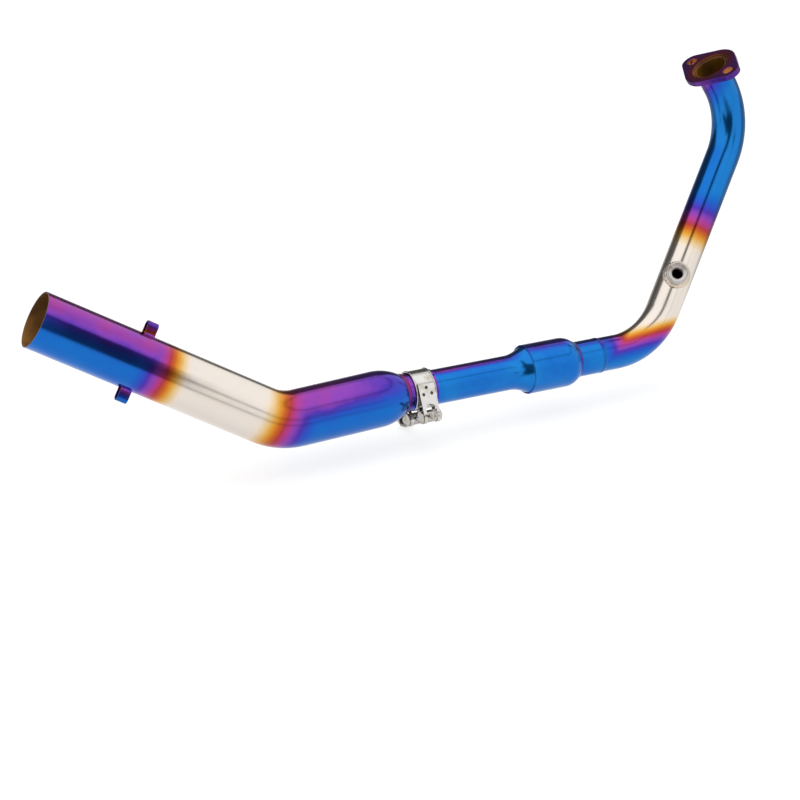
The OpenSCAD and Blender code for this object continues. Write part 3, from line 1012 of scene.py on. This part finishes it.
@dataclass
class HeadPipe:
    """Bent head pipe with its oxide colours, and the threaded sensor bung on it."""

    effects: Effects
    bore_r: float = 15.3 * MM
    pipe_r: float = 15.9 * MM
    bung_pos: float = 125.5 * MM
    bung_turn: float = 311
    bung_r: float = 10.2 * MM
    bung_top: float = 25 * MM
    bung_bore_r: float = 5.35 * MM
    bung_sink: float = 0.3 * MM
    chamfer: float = 0.8 * MM
    chamfer_bow: float = 0.12 * MM
    rim: float = 1.0 * MM
    rim_round: Range = (0.2 * MM, 0.12 * MM)
    dish: float = 0.8 * MM
    thread: Thread = Thread(1.25 * MM, 0.6 * MM)
    thread_sink: float = 3 * MM
    run_in: int = 4
    steps: int = 72
    weld_w: float = 2.3 * MM
    weld_rise: float = 1.9
    weld_reach: float = 1.1
    weld_lean: float = 0.7

    def at_bung(self) -> Matrix:
        """Frame of the bung, with +Z out of the pipe and +X against the pipe's run."""
        place = shifted(ROUTE.at_head_straight(), z=self.bung_pos)
        return turned(turned(place, self.bung_turn, "Z"), 90, "Y")

    def pipe_finish(self) -> Finish:
        """Blue near the port, bare in the middle and blue again from the second bend.

        Returns:
            The material.
        """
        across_bend = Fade((0.0, 0.0, 0.0), (0.27, -0.421, -0.864), clear=214 * MM,
                           full=248 * MM)
        port_side = Fade((-self.pipe_r, 0.0, 0.0), (0.9, 0.0, -0.43), clear=-14 * MM,
                         full=44 * MM)
        return TintedSteel(
            "head pipe tint",
            fades=(fade_on(ROUTE.at_head_straight(), 101 * MM, 32 * MM), across_bend,
                   fade_on(ROUTE.at_middle_run(), -24 * MM, 28 * MM)),
            limits=(port_side, fade_on(ROUTE.at_port(), 20 * MM, 75 * MM)),
            bores=(Bore(ROUTE.at_port(), self.bore_r, -1 * MM, 25 * MM, ("54380c", "7c5414")),),
            film_top=0.66, film_bottom=0.9, turn_low=0.72, turn_high=1.0).build(self.effects)

    def saddle(self, radius: float, angle: float, lift: float = 0.0) -> Vector:
        """Point on the pipe's surface below a point of the bung, raised by lift."""
        y = radius * sin(angle)
        return Vector((radius * cos(angle), y, sqrt(self.pipe_r ** 2 - y * y) + lift))

    def thread_rows(self, place: Matrix) -> list[list[Vector]]:
        """Rows of the threaded wall, from the dish down into the pipe.

        Args:
            place: the bung's frame.

        Returns:
            The rows of points.
        """
        top = self.bung_top - 2 * self.dish
        bottom = self.pipe_r - self.thread_sink
        count = self.thread.rings(top - bottom)
        rows = []
        for i in range(count + 1):
            z = top + (bottom - top) * i / count
            ease = min(1.0, i / self.run_in)

            def wall(a: float, z: float = z, ease: float = ease) -> float:
                """Radius of the wall at an angle."""
                return self.bung_bore_r + (self.thread.depth - self.thread.flank(z, -a)) * ease
            rows.append(ring(place, self.steps, z, wall))
        return rows

    def build_bung(self) -> None:
        """Turned bung: chamfered rim, dished seat and a cut thread."""
        steel = BrightSteel("bung steel", clean="cfcac6", stained="a89c92",
                            roughness=0.28).build(self.effects)
        place, top, r = self.at_bung(), self.bung_top, self.bung_r
        face_r = r - self.chamfer
        bow, seat = self.chamfer_bow, face_r - self.rim
        rows = [[place @ self.saddle(r, a, -self.bung_sink) for a in angles(self.steps)]]
        for radius, z in ((r, top - 1.3 * self.chamfer), (r, top - self.chamfer),
                          (r - bow, top - 0.6 * self.chamfer), (face_r, top), (seat, top),
                          (seat - self.rim_round[0], top - self.rim_round[1]),
                          (self.bung_bore_r + self.dish, top - self.dish)):
            rows.append(ring(place, self.steps, z, radius))
        rows += self.thread_rows(place)
        new_piece("sensor_boss", Skin().add(rows, column_loop=True), steel,
                  ("sensor_bung",), crease=28)

    def build_bung_weld(self) -> None:
        """Rippled bead along the saddle between the bung and the pipe."""
        steel = TintedSteel("bung weld tint", film_top=0.05, film_bottom=0.07, mottle=0.16,
                            roughness=0.24, shade=0.88).build(self.effects)
        place = self.at_bung()

        def edges(u: float) -> tuple[Vector, Vector, Vector]:
            """Edges of the bead on the bung and on the pipe."""
            a = 2 * pi * u
            return (place @ self.saddle(self.bung_r, a, self.weld_rise * self.weld_w),
                    place @ self.saddle(self.bung_r + self.weld_reach * self.weld_w, a),
                    direction(place, a, 1, self.weld_lean))

        WeldBead(34, 1.0 * MM, 0.6 * MM, 1.1).build("bung_bead", edges, steel, "bung_weld")

    def build(self) -> None:
        """Dresses the pipe and builds the bung and its weld."""
        dress("head_pipe", self.pipe_finish())
        self.build_bung()
        self.build_bung_weld()


@dataclass
class ResonanceChamber:
    """Perforated core, spun shell and flared tail pipe, with the welds that join them."""

    effects: Effects
    core_start: float = 20 * MM
    shell_start: float = 46 * MM
    barrel_end: float = 97 * MM
    pipe_r: float = 15.9 * MM
    core_r: float = 16.4 * MM
    mouth_r: float = 17.65 * MM
    barrel_r: float = 22.75 * MM
    flare_r: float = 22 * MM
    neck_weld_w: float = 5 * MM
    front_weld: Range = (-2.6 * MM, 0.4 * MM)
    rear_weld: Range = (-0.1 * MM, 1.3 * MM)

    def build(self) -> None:
        """Dresses the chamber, bright blue with violet upper sides, and lays its welds."""
        run = ROUTE.at_middle_run()
        blue = TintedSteel("chamber tint", thicker=fade_on(run, 128 * MM, 100 * MM),
                           film_far=0.66, film_top=0.56, film_bottom=0.86, turn_low=0.93,
                           turn_high=1.0, mottle=0.24).build(self.effects)
        for node in ("resonator_core", "resonator_shell", "tail_pipe"):
            dress(node, blue)
        violet = TintedSteel("front weld tint", film_top=0.56, film_bottom=0.72, shade=0.75,
                             mottle=0.4, roughness=0.24).build(self.effects)
        indigo = TintedSteel("chamber weld tint", film_top=0.62, film_bottom=0.82, turn_low=0.8,
                             shade=0.8, mottle=0.3, roughness=0.24).build(self.effects)
        half = self.neck_weld_w / 2
        for bead, name, start, first, last, lean, steel, node in (
                (WeldBead(70, 0.42 * MM, 0.12 * MM, 2.0), "neck_bead", self.core_start,
                 (self.pipe_r, -half), (self.core_r, half), 0, indigo, "neck_weld"),
                (WeldBead(74, 0.3 * MM, 0.12 * MM, 2.6), "chamber_front_bead", self.shell_start,
                 (self.core_r, self.front_weld[0]),
                 (self.mouth_r + 0.1 * MM, self.front_weld[1]), -0.6, violet,
                 "resonator_front_weld"),
                (WeldBead(96, 0.2 * MM, 0.08 * MM, 3.3), "chamber_rear_bead", self.barrel_end,
                 (self.barrel_r, self.rear_weld[0]),
                 (self.flare_r - 0.05 * MM, self.rear_weld[1]), 1, indigo,
                 "resonator_rear_weld")):
            bead.build(name, ring_edges(shifted(run, z=start), first, last, 1, lean), steel, node)


@dataclass
class LinkPipe:
    """Slotted sleeve, reducer and link pipe, and the weld at their mitred joint."""

    effects: Effects
    outlet_bore: float = 24.9 * MM
    sleeve_r: float = 17.25 * MM
    weld_w: float = 5 * MM
    weld_step: float = 0.2 * MM

    def finish(self) -> Finish:
        """Tinted at both ends and bare between them, with a browned bore.

        Returns:
            The material.
        """
        rear = ROUTE.at_rear_straight()
        return TintedSteel(
            "link pipe tint",
            fades=(fade_on(rear, 12 * MM, -57 * MM), fade_on(rear, 82 * MM, 141 * MM)),
            bores=(Bore(rear, self.outlet_bore, 2 * MM, 230 * MM, ("64492c", "a0703a")),),
            thicker=fade_on(ROUTE.at_link(), 80 * MM, 20 * MM),
            film_top=0.49, film_bottom=0.82, turn_low=0.48, turn_high=0.92,
            mottle=0.14).build(self.effects)

    def build(self) -> None:
        """Dresses the sleeve and the link pipe and lays their weld."""
        dress("link_pipe", self.finish())
        dress("inlet_sleeve", TintedSteel(
            "sleeve tint", film_top=0.54, film_bottom=0.66, mottle=0.2).build(self.effects))
        violet = TintedSteel("link weld tint", film_top=0.42, film_bottom=0.56, mottle=0.3,
                             roughness=0.24, shade=0.6).build(self.effects)
        half = self.weld_w / 2
        edges = ring_edges(ROUTE.at_link(), (self.sleeve_r, -half),
                           (self.sleeve_r + self.weld_step, half), 1, 0)
        WeldBead(66, 0.6 * MM, seed=4.1).build("link_bead", edges, violet, "inlet_weld")


@dataclass
class SpringHooks:
    """Two folded straps on the link pipe, each with a bead along both feet."""

    effects: Effects
    pos: float = 124.5 * MM
    turn: float = -6.7
    length: float = 10 * MM
    span: float = 9 * MM
    link_r: float = 25.5 * MM
    leg: float = 1.8 * MM
    taper_power: int = 8
    edge_round: float = 0.25 * MM

    def build_beads(self, name: str, turn: float, finish: Finish, node: str) -> None:
        """Lays the two foot beads of one hook as a single piece.

        Args:
            name: the piece's name.
            turn: turn of the hook round the pipe.
            finish: material of the beads.
            node: CAD node that the beads stand for.
        """
        place = turned(shifted(ROUTE.at_rear_straight(), z=self.pos - self.length / 2), turn, "Z")
        half = self.span / 2
        foot = sqrt(self.link_r ** 2 - half ** 2)
        bead = WeldBead(8, 0.5 * MM, 0.3 * MM, seed=turn)
        skin = Skin()
        for side in (-1, 1):
            def edges(u: float) -> tuple[Vector, Vector, Vector]:
                """Finds the edges of the bead.

                Args:
                    u: share of the bead's length.

                Returns:
                    The edge on the hook's leg, the edge on the pipe and the outward direction.
                """
                z = u * self.length
                taper = sqrt(max(0.0, 1 - (2 * u - 1) ** self.taper_power))
                y = half + self.leg * taper
                return (place @ Vector((foot + self.leg * taper, side * half, z)),
                        place @ Vector((sqrt(self.link_r ** 2 - y * y), side * y, z)),
                        (place.to_3x3() @ Vector((1, side, 0))).normalized())
            skin.add(bead.points(edges, False))
        new_piece(name, skin, finish, (node,), bead.crease)

    def build(self) -> None:
        """Builds both hooks and their beads."""
        rear = ROUTE.at_rear_straight()
        bead = TintedSteel("hook weld tint", film_top=0.46, film_bottom=0.56, mottle=0.7,
                           roughness=0.24).build(self.effects)
        for side, turn, full in (("upper", self.turn, 44 * MM),
                                 ("lower", self.turn + 180, 36 * MM)):
            strap = TintedSteel(side + " hook tint", fades=(Spread(rear, 20 * MM, full),),
                                film_top=0.58, film_bottom=0.84, mottle=0.2, roughness=0.24,
                                shade=0.85).build(self.effects)
            Softening(self.edge_round).build("hook_strap_" + side, "spring_hook_" + side, strap,
                                             Material.HOOK)
            self.build_beads("hook_bead_" + side, turn, bead, "hook_weld_" + side)


@dataclass
class TBoltClamp:
    """Bright clamp: band, bridge, notched straps, trunnions, spacer and flanged bolt.

    Each spot weld has an angle in degrees and a height in millimetres, and their common
    profile has radii and heights in millimetres.
    """

    effects: Effects
    clamp_pos: float = 206 * MM
    clamp_turn: float = -83.2
    strap_face_r: float = 20.2 * MM
    strap_flat: float = 2.6
    bolt_drop: float = 24.5 * MM
    bolt_r: float = 3 * MM
    bolt_l: float = 75 * MM
    bolt_reach: float = 36 * MM
    shank_play: float = 0.05 * MM
    thread_l: float = 46 * MM
    thread: Thread = Thread(1 * MM, 0.55 * MM)
    run_in: int = 8
    tip_taper: Range = (0.8 * MM, 0.35 * MM)
    tip_chamfer: float = 0.7 * MM
    head_af: float = 10 * MM
    head_h: float = 6.5 * MM
    flange_r: float = 6.5 * MM
    flange_t: float = 1.3 * MM
    bolt_steps: int = 48
    merge: float = 0.001 * MM
    spots: tuple[Range, ...] = ((3.0, 0.6), (-12.8, -3.6), (-13.6, 4.4))
    spot_profile: tuple[Range, ...] = (
        (0.0, 0.03), (0.5, 0.02), (0.75, 0.06), (0.95, 0.16), (1.2, 0.14), (1.45, 0.04),
        (1.6, -0.08))
    spot_steps: int = 20

    def at_clamp(self) -> Matrix:
        """Frame in the middle of the band, with +X towards the bolt's tip."""
        return turned(shifted(ROUTE.at_middle_run(), z=self.clamp_pos), self.clamp_turn, "Z")

    def hexagon(self, limit: float) -> Radius:
        """Radius of the hexagon, no more than a limit that gives the chamfer."""
        return lambda a: min(self.head_af / 2 / cos((a % (pi / 3)) - pi / 6), limit)

    def thread_wall(self, z: float, ease: float) -> Radius:
        """Radius of the threaded length at one height.

        Args:
            z: height from under the head.
            ease: share of the thread's depth that is cut.

        Returns:
            The radius by angle.
        """
        length, depth = self.tip_taper
        taper = depth * max(0.0, 1 - (self.bolt_l - z) / length)
        return lambda a: self.bolt_r - self.thread.flank(z, a) * ease - taper

    def bolt_rings(self) -> list[tuple[float, Radius]]:
        """Rings of the bolt, from the middle of its head to the middle of its tip.

        Returns:
            Height and radius of each ring.
        """
        corner = self.head_af / 2 / cos(pi / 6)
        head, flange, rim = -self.head_h, -self.flange_t, self.flange_r
        start, shank = self.bolt_l - self.thread_l, self.bolt_r - self.shank_play
        rings = [
            (head, 0.0), (head, self.hexagon(self.head_af * 0.46)),
            (head + 0.15 * MM, self.hexagon(self.head_af * 0.49)),
            (head + 0.55 * MM, self.hexagon(corner)),
            (flange - 0.5 * MM, self.hexagon(corner)), (flange, rim - 1.2 * MM),
            (flange + 0.4 * MM, rim - 0.25 * MM), (-0.5 * MM, rim), (0.0, rim - 0.15 * MM),
            (0.0, self.bolt_r + 0.1 * MM), (0.3 * MM, shank), (start, shank)]
        count = self.thread.rings(self.thread_l)
        for i in range(1, count):
            z = start + self.thread_l * i / count
            ease = min(1.0, i / self.run_in, (count - i) / self.run_in)
            rings.append((z, self.thread_wall(z, ease)))
        return [*rings, (self.bolt_l, self.bolt_r - self.tip_chamfer), (self.bolt_l, 0.0)]

    def build_bolt(self, steel: Finish) -> None:
        """Flanged hexagon bolt with a rolled thread and a chamfered tip.

        Args:
            steel: its material.
        """
        place = turned(shifted(self.at_clamp(), x=self.bolt_reach - self.bolt_l,
                               y=-self.bolt_drop), 90, "Y")
        rows = [ring(place, self.bolt_steps, z, radius) for z, radius in self.bolt_rings()]
        piece = new_piece("t_bolt", Skin().add(rows, column_loop=True), steel,
                          ("clamp_bolt",), crease=38)
        reshape(piece.data, lambda made: bmesh.ops.remove_doubles(
            made, verts=made.verts, dist=self.merge))

    def spot_rows(self, angle: float, height: float, mirror: bool) -> list[list[Vector]]:
        """Rings of one spot weld, laid on the strap's face.

        Args:
            angle: its angle about the band.
            height: its height along the band's axis.
            mirror: it is on the strap of the bolt's head.

        Returns:
            The rings of points.
        """
        place, flat = self.at_clamp(), radians(self.strap_flat)
        rows = []
        for r, lift in self.spot_profile:
            row = []
            for b in angles(self.spot_steps):
                turn = radians(angle) + r * MM * cos(b) / self.strap_face_r
                face = self.strap_face_r / cos(min(0.0, turn - flat))
                row.append(polar(place, face + lift * MM, pi - turn if mirror else turn,
                                 height * MM + r * MM * sin(b)))
            rows.append(row)
        return rows

    def build_spots(self, steel: Finish) -> None:
        """Small dished spot welds on both straps.

        Args:
            steel: their material.
        """
        skin = Skin()
        for mirror in (False, True):
            for angle, height in self.spots:
                skin.add(self.spot_rows(angle, height, mirror), column_loop=True)
        new_piece("strap_spot_welds", skin, steel)

    def build(self) -> None:
        """Dresses the band and builds the other pieces of the clamp."""
        # The band steel and the bolt steel darken their creases with painted shade.
        bright = BrightSteel("band steel", clean="dcdad6", stained="bcb4a8", roughness=0.09,
                             crease=5 * MM).build(self.effects)
        dark = BrightSteel("spot weld steel", clean="5c554e", stained="38322c",
                           roughness=0.35).build(self.effects)
        turned_steel = BrightSteel("bolt steel", clean="c4c0b8", stained="8a8278",
                                   stain_scale=300, roughness=0.14,
                                   crease=4 * MM).build(self.effects)
        dress("clamp_band", bright)
        strip, bar = Softening(0.12 * MM, 1), Softening(0.3 * MM)
        for name, node, edge, steel in (
                ("band_bridge", "clamp_bridge", strip, bright),
                ("loop_strap_near", "clamp_loop_near", strip, bright),
                ("loop_strap_far", "clamp_loop_far", strip, bright),
                ("threaded_trunnion", "trunnion_threaded", bar, turned_steel),
                ("plain_trunnion", "trunnion_plain", bar, turned_steel),
                ("bolt_spacer", "clamp_spacer", bar, turned_steel)):
            edge.build(name, node, steel, Material.CLAMP)
        self.build_bolt(turned_steel)
        self.build_spots(dark)


# Studio


@dataclass(frozen=True)
class Surroundings:
    """White for the camera, and bright walls with dark gaps for the metal to mirror.

    The gaps lie by direction, in degrees. Turn is 0 towards the camera and grows to the
    right, and height is 0 at the horizon.
    """

    rear_turn: Range = (100.0, 140.0)
    rear_edge_turn: Range = (158.0, 170.0)
    rear_edge: Range = (9.0, 38.0)
    rear_soft: float = 5.0
    left_turn: Range = (-100.0, -90.0)
    left_height: Range = (38.0, 44.0)
    slit_height: Range = (4.0, 24.0)
    slit_middle: Range = (-2.0, 4.5)
    slit_half_height: Range = (4.0, 28.0)
    slit_half: Range = (21.0, 6.0)
    slit_soft: float = 7.0
    seam_height: float = 47.5
    seam_half: Range = (1.0, 3.5)
    seam_dark: float = 0.6
    seam_turn: Range = (42.0, 54.0)
    line_height: float = 16.0
    line_half: Range = (1.5, 5.0)
    line_dark: float = 0.8
    line_start: Range = (32.0, 40.0)
    line_end: Range = (48.5, 51.0)
    bright_height: Range = (5.0, 60.0)
    bright: Range = (0.98, 1.16)
    dark: float = 0.09
    ambient: float = 0.55

    def rear(self, wire: Wiring, turn: Socket, height: Socket) -> Socket:
        """Low dark wall behind the header.

        Args:
            wire: the world's wiring.
            turn: turn of the direction.
            height: height of the direction.

        Returns:
            How dark it is, from 0 to 1.
        """
        wide = wire.math("ABSOLUTE", turn)
        edge = wire.span(wide, *self.rear_edge_turn, *self.rear_edge)
        above = wire.span(height, edge, wire.math("ADD", edge, self.rear_soft), 1.0, 0.0)
        return wire.times(wire.span(wide, *self.rear_turn, smooth=True), above)

    def left(self, wire: Wiring, turn: Socket, height: Socket) -> Socket:
        """Dark wall at the far left."""
        return wire.times(wire.span(turn, *self.left_turn, 1.0, 0.0, smooth=True),
                          wire.span(height, *self.left_height, 1.0, 0.0, smooth=True))

    def slit(self, wire: Wiring, turn: Socket, height: Socket) -> Socket:
        """Dark gap about the camera, which leans and narrows upward.

        Args:
            wire: the world's wiring.
            turn: turn of the direction.
            height: height of the direction.

        Returns:
            How dark it is, from 0 to 1.
        """
        middle = wire.span(height, *self.slit_height, *self.slit_middle, smooth=True)
        half = wire.span(height, *self.slit_half_height, *self.slit_half, smooth=True)
        return wire.span(wire.off(turn, middle), half, wire.math("ADD", half, self.slit_soft),
                         1.0, 0.0, smooth=True)

    def seam(self, wire: Wiring, turn: Socket, height: Socket) -> Socket:
        """Dark level seam at the upper right."""
        seam = wire.span(wire.off(height, self.seam_height), *self.seam_half, self.seam_dark,
                         0.0, smooth=True)
        return wire.times(seam, wire.span(turn, *self.seam_turn, smooth=True))

    def line(self, wire: Wiring, turn: Socket, height: Socket) -> Socket:
        """Short dark line at the lower right."""
        line = wire.span(wire.off(height, self.line_height), *self.line_half, self.line_dark,
                         0.0, smooth=True)
        return wire.times(line, wire.times(wire.span(turn, *self.line_start),
                                           wire.span(turn, *self.line_end, 1.0, 0.0)))

    def build(self) -> None:
        """Builds the world."""
        world = bpy.data.worlds.new("studio")
        bpy.context.scene.world = world
        world.use_nodes = True
        wire = Wiring(world.node_tree)
        x, y, z = wire.axes(wire.node("TexCoord").outputs["Generated"])
        height = wire.times(wire.math("ARCSINE", z), degrees(1))
        turn = wire.times(wire.math("ARCTAN2", x, wire.times(y, -1.0)), degrees(1))
        dark = self.slit(wire, turn, height)
        for gap in (self.seam, self.line, self.left, self.rear):
            dark = wire.math("MAXIMUM", dark, gap(wire, turn, height))
        mirrored = wire.span(dark, 0.0, 1.0,
                             wire.span(height, *self.bright_height, *self.bright), self.dark)
        path = wire.node("LightPath").outputs
        sheen, seen = path["Is Glossy Ray"], path["Is Camera Ray"]
        strength = wire.math("ADD", wire.times(sheen, mirrored),
                             wire.times(wire.less(1.0, sheen), self.ambient))
        strength = wire.math("ADD", wire.times(strength, wire.less(1.0, seen)), seen)
        wire.fill(world.node_tree.nodes["Background"], Color=(1, 1, 1, 1), Strength=strength)


def matt(name: str, roughness: float) -> tuple[Finish, Wiring, bpy.types.Node]:
    """Starts a matt material that may glow white.

    Args:
        name: the material's name.
        roughness: its roughness.

    Returns:
        The material, its wiring and its shader.
    """
    finish = bpy.data.materials.new(name)
    finish.use_nodes = True
    shader = finish.node_tree.nodes["Principled BSDF"]
    wire = Wiring(finish.node_tree)
    wire.fill(shader, Roughness=roughness, Specular_IOR_Level=0.0, Emission_Color=(1, 1, 1, 1))
    return finish, wire, shader


@dataclass(frozen=True)
class Paper:
    """White floor that keeps the header's shadow.

    The metal mirrors it with a darker strip towards the camera, whose width is a share of
    the distance, and a darker part behind the header.
    """

    grey: Range = (0.27, 0.29)
    grain: float = 3.0
    near: float = 0.3
    strip_x: float = 0.03
    strip_half: Range = (0.12, 0.34)
    strip_y: Range = (-0.75, -0.35)
    behind_y: Range = (-0.04, 0.12)
    unlit: float = 0.85
    roughness: float = 0.9
    mirrored: float = 0.64
    seen: float = 0.78

    def build(self) -> Finish:
        """Builds the material.

        Returns:
            The material.
        """
        paper, wire, shader = matt("studio paper", self.roughness)
        place = wire.node("TexCoord").outputs["Object"]
        low, high = ((grey, grey, grey, 1) for grey in self.grey)
        x, y, _ = wire.axes(place)
        ahead = wire.math("MAXIMUM", wire.times(y, -1.0), self.near)
        aside = wire.math("DIVIDE", wire.off(x, self.strip_x), ahead)
        strip = wire.times(wire.span(aside, *self.strip_half, self.unlit, 0.0, smooth=True),
                           wire.span(y, *self.strip_y, 1.0, 0.0, smooth=True))
        behind = wire.span(y, *self.behind_y, 0.0, self.unlit, smooth=True)
        lit = wire.less(1.0, wire.math("MAXIMUM", strip, behind))
        path = wire.node("LightPath").outputs
        glow = wire.math("MAXIMUM",
                         wire.times(path["Is Glossy Ray"], wire.times(lit, self.mirrored)),
                         wire.times(path["Is Camera Ray"], self.seen))
        wire.fill(shader, Base_Color=wire.mix(wire.noise(place, self.grain), low, high),
                  Emission_Strength=glow)
        return paper


@dataclass(frozen=True)
class Lamp:
    """Soft square lamp, which the metal doesn't mirror."""

    name: str
    place: tuple[float, float, float]
    size: float
    power: float

    def build(self, aim: Vector) -> None:
        """Builds the lamp.

        Args:
            aim: point that it is turned to.
        """
        lamp = bpy.data.lights.new(self.name, "AREA")
        lamp.shape = "SQUARE"
        lamp.size = self.size
        lamp.energy = self.power
        lamp.specular_factor = 0.0
        holder = bpy.data.objects.new(self.name, lamp)
        holder.location = self.place
        holder.rotation_euler = (Vector(self.place) - aim).to_track_quat("Z", "Y").to_euler()
        holder.visible_glossy = False
        bpy.context.scene.collection.objects.link(holder)


@dataclass
class Studio:
    """White floor, surroundings that the metal mirrors, lamps and the camera."""

    aim: tuple[float, float, float] = (-0.290, -0.222, -0.240)
    elevation: float = 26
    distance: float = 2.340
    lens: float = 117
    sensor: float = 36
    clip_end: float = 50
    floor_reach: float = 8.0
    flag_y: float = -0.55
    flag_corners: tuple[Range, ...] = (
        (-0.211, 0.208), (-0.505, -0.126), (-0.369, -0.203), (-0.329, -0.163),
        (-0.234, -0.088), (-0.137, 0.04), (-0.01, 0.173))
    flag_grey: float = 0.02
    flag_glow: float = 0.11
    flag_roughness: float = 1.0
    lamps: tuple[Lamp, ...] = (
        Lamp("lamp_above", (-0.4, 0.3, 2.2), 2.6, 42.0),
        Lamp("lamp_right", (1.9, -1.3, 1.2), 1.6, 16.0),
        Lamp("lamp_left", (-2.1, -1.2, 1.2), 1.6, 12.0))

    def build_camera(self) -> None:
        """Camera at the photograph's place."""
        lens = bpy.data.cameras.new("camera")
        lens.lens = self.lens
        lens.sensor_width = self.sensor
        lens.clip_end = self.clip_end
        camera = bpy.data.objects.new("camera", lens)
        lift = radians(self.elevation)
        back = Vector((0, -cos(lift), sin(lift)))
        camera.location = Vector(self.aim) + back * self.distance
        camera.rotation_euler = (radians(90 - self.elevation), 0, 0)
        bpy.context.scene.collection.objects.link(camera)
        bpy.context.scene.camera = camera

    def sheet(self, name: str, corners: Sequence[Sequence[float]],
              finish: Finish) -> bpy.types.Object:
        """Makes a flat sheet of the studio.

        Args:
            name: the sheet's name.
            corners: its corners in order.
            finish: its material.

        Returns:
            The new object.
        """
        mesh = bpy.data.meshes.new(name)
        mesh.from_pydata(corners, [], [range(len(corners))])
        mesh.materials.append(finish)
        made = bpy.data.objects.new(name, mesh)
        bpy.context.scene.collection.objects.link(made)
        return made

    def build_floor(self, height: float) -> None:
        """White floor below the header.

        Args:
            height: height of the floor.
        """
        far = self.floor_reach
        floor = self.sheet("studio_floor", [(-far, -far, height), (far, -far, height),
                                            (far, far, height), (-far, far, height)],
                           Paper().build())

    def build_flag(self) -> None:
        """Black flag in front of the outlet, which only reflections see."""
        cloth, wire, shader = matt("flag cloth", self.flag_roughness)
        grey = self.flag_grey
        wire.fill(shader, Base_Color=(grey, grey, grey, 1), Emission_Strength=self.flag_glow)
        flag = self.sheet("studio_flag", [(x, self.flag_y, z) for x, z in self.flag_corners],
                          cloth)
        flag.visible_camera = False
        flag.visible_diffuse = False
        flag.visible_shadow = False

    def build(self, floor_height: float) -> None:
        """Builds the surroundings, the floor, the flag and the lamps.

        Args:
            floor_height: height of the floor.
        """
        Surroundings().build()
        self.build_floor(floor_height)
        self.build_flag()
        for lamp in self.lamps:
            lamp.build(Vector(self.aim))
        bpy.context.scene.view_settings.view_transform = "Standard"


def main() -> None:
    """Builds the scene in order, from the camera to the floor."""
    logging.basicConfig(level=logging.INFO, format="%(name)s: %(message)s")
    studio = Studio()
    studio.build_camera()
    effects = Effects()
    HeadFlange(effects).build()
    HeadPipe(effects).build()
    ResonanceChamber(effects).build()
    LinkPipe(effects).build()
    SpringHooks(effects).build()
    TBoltClamp(effects).build()
    studio.build(CAD_BOX[0][2])


if __name__ == "__main__":
    main()
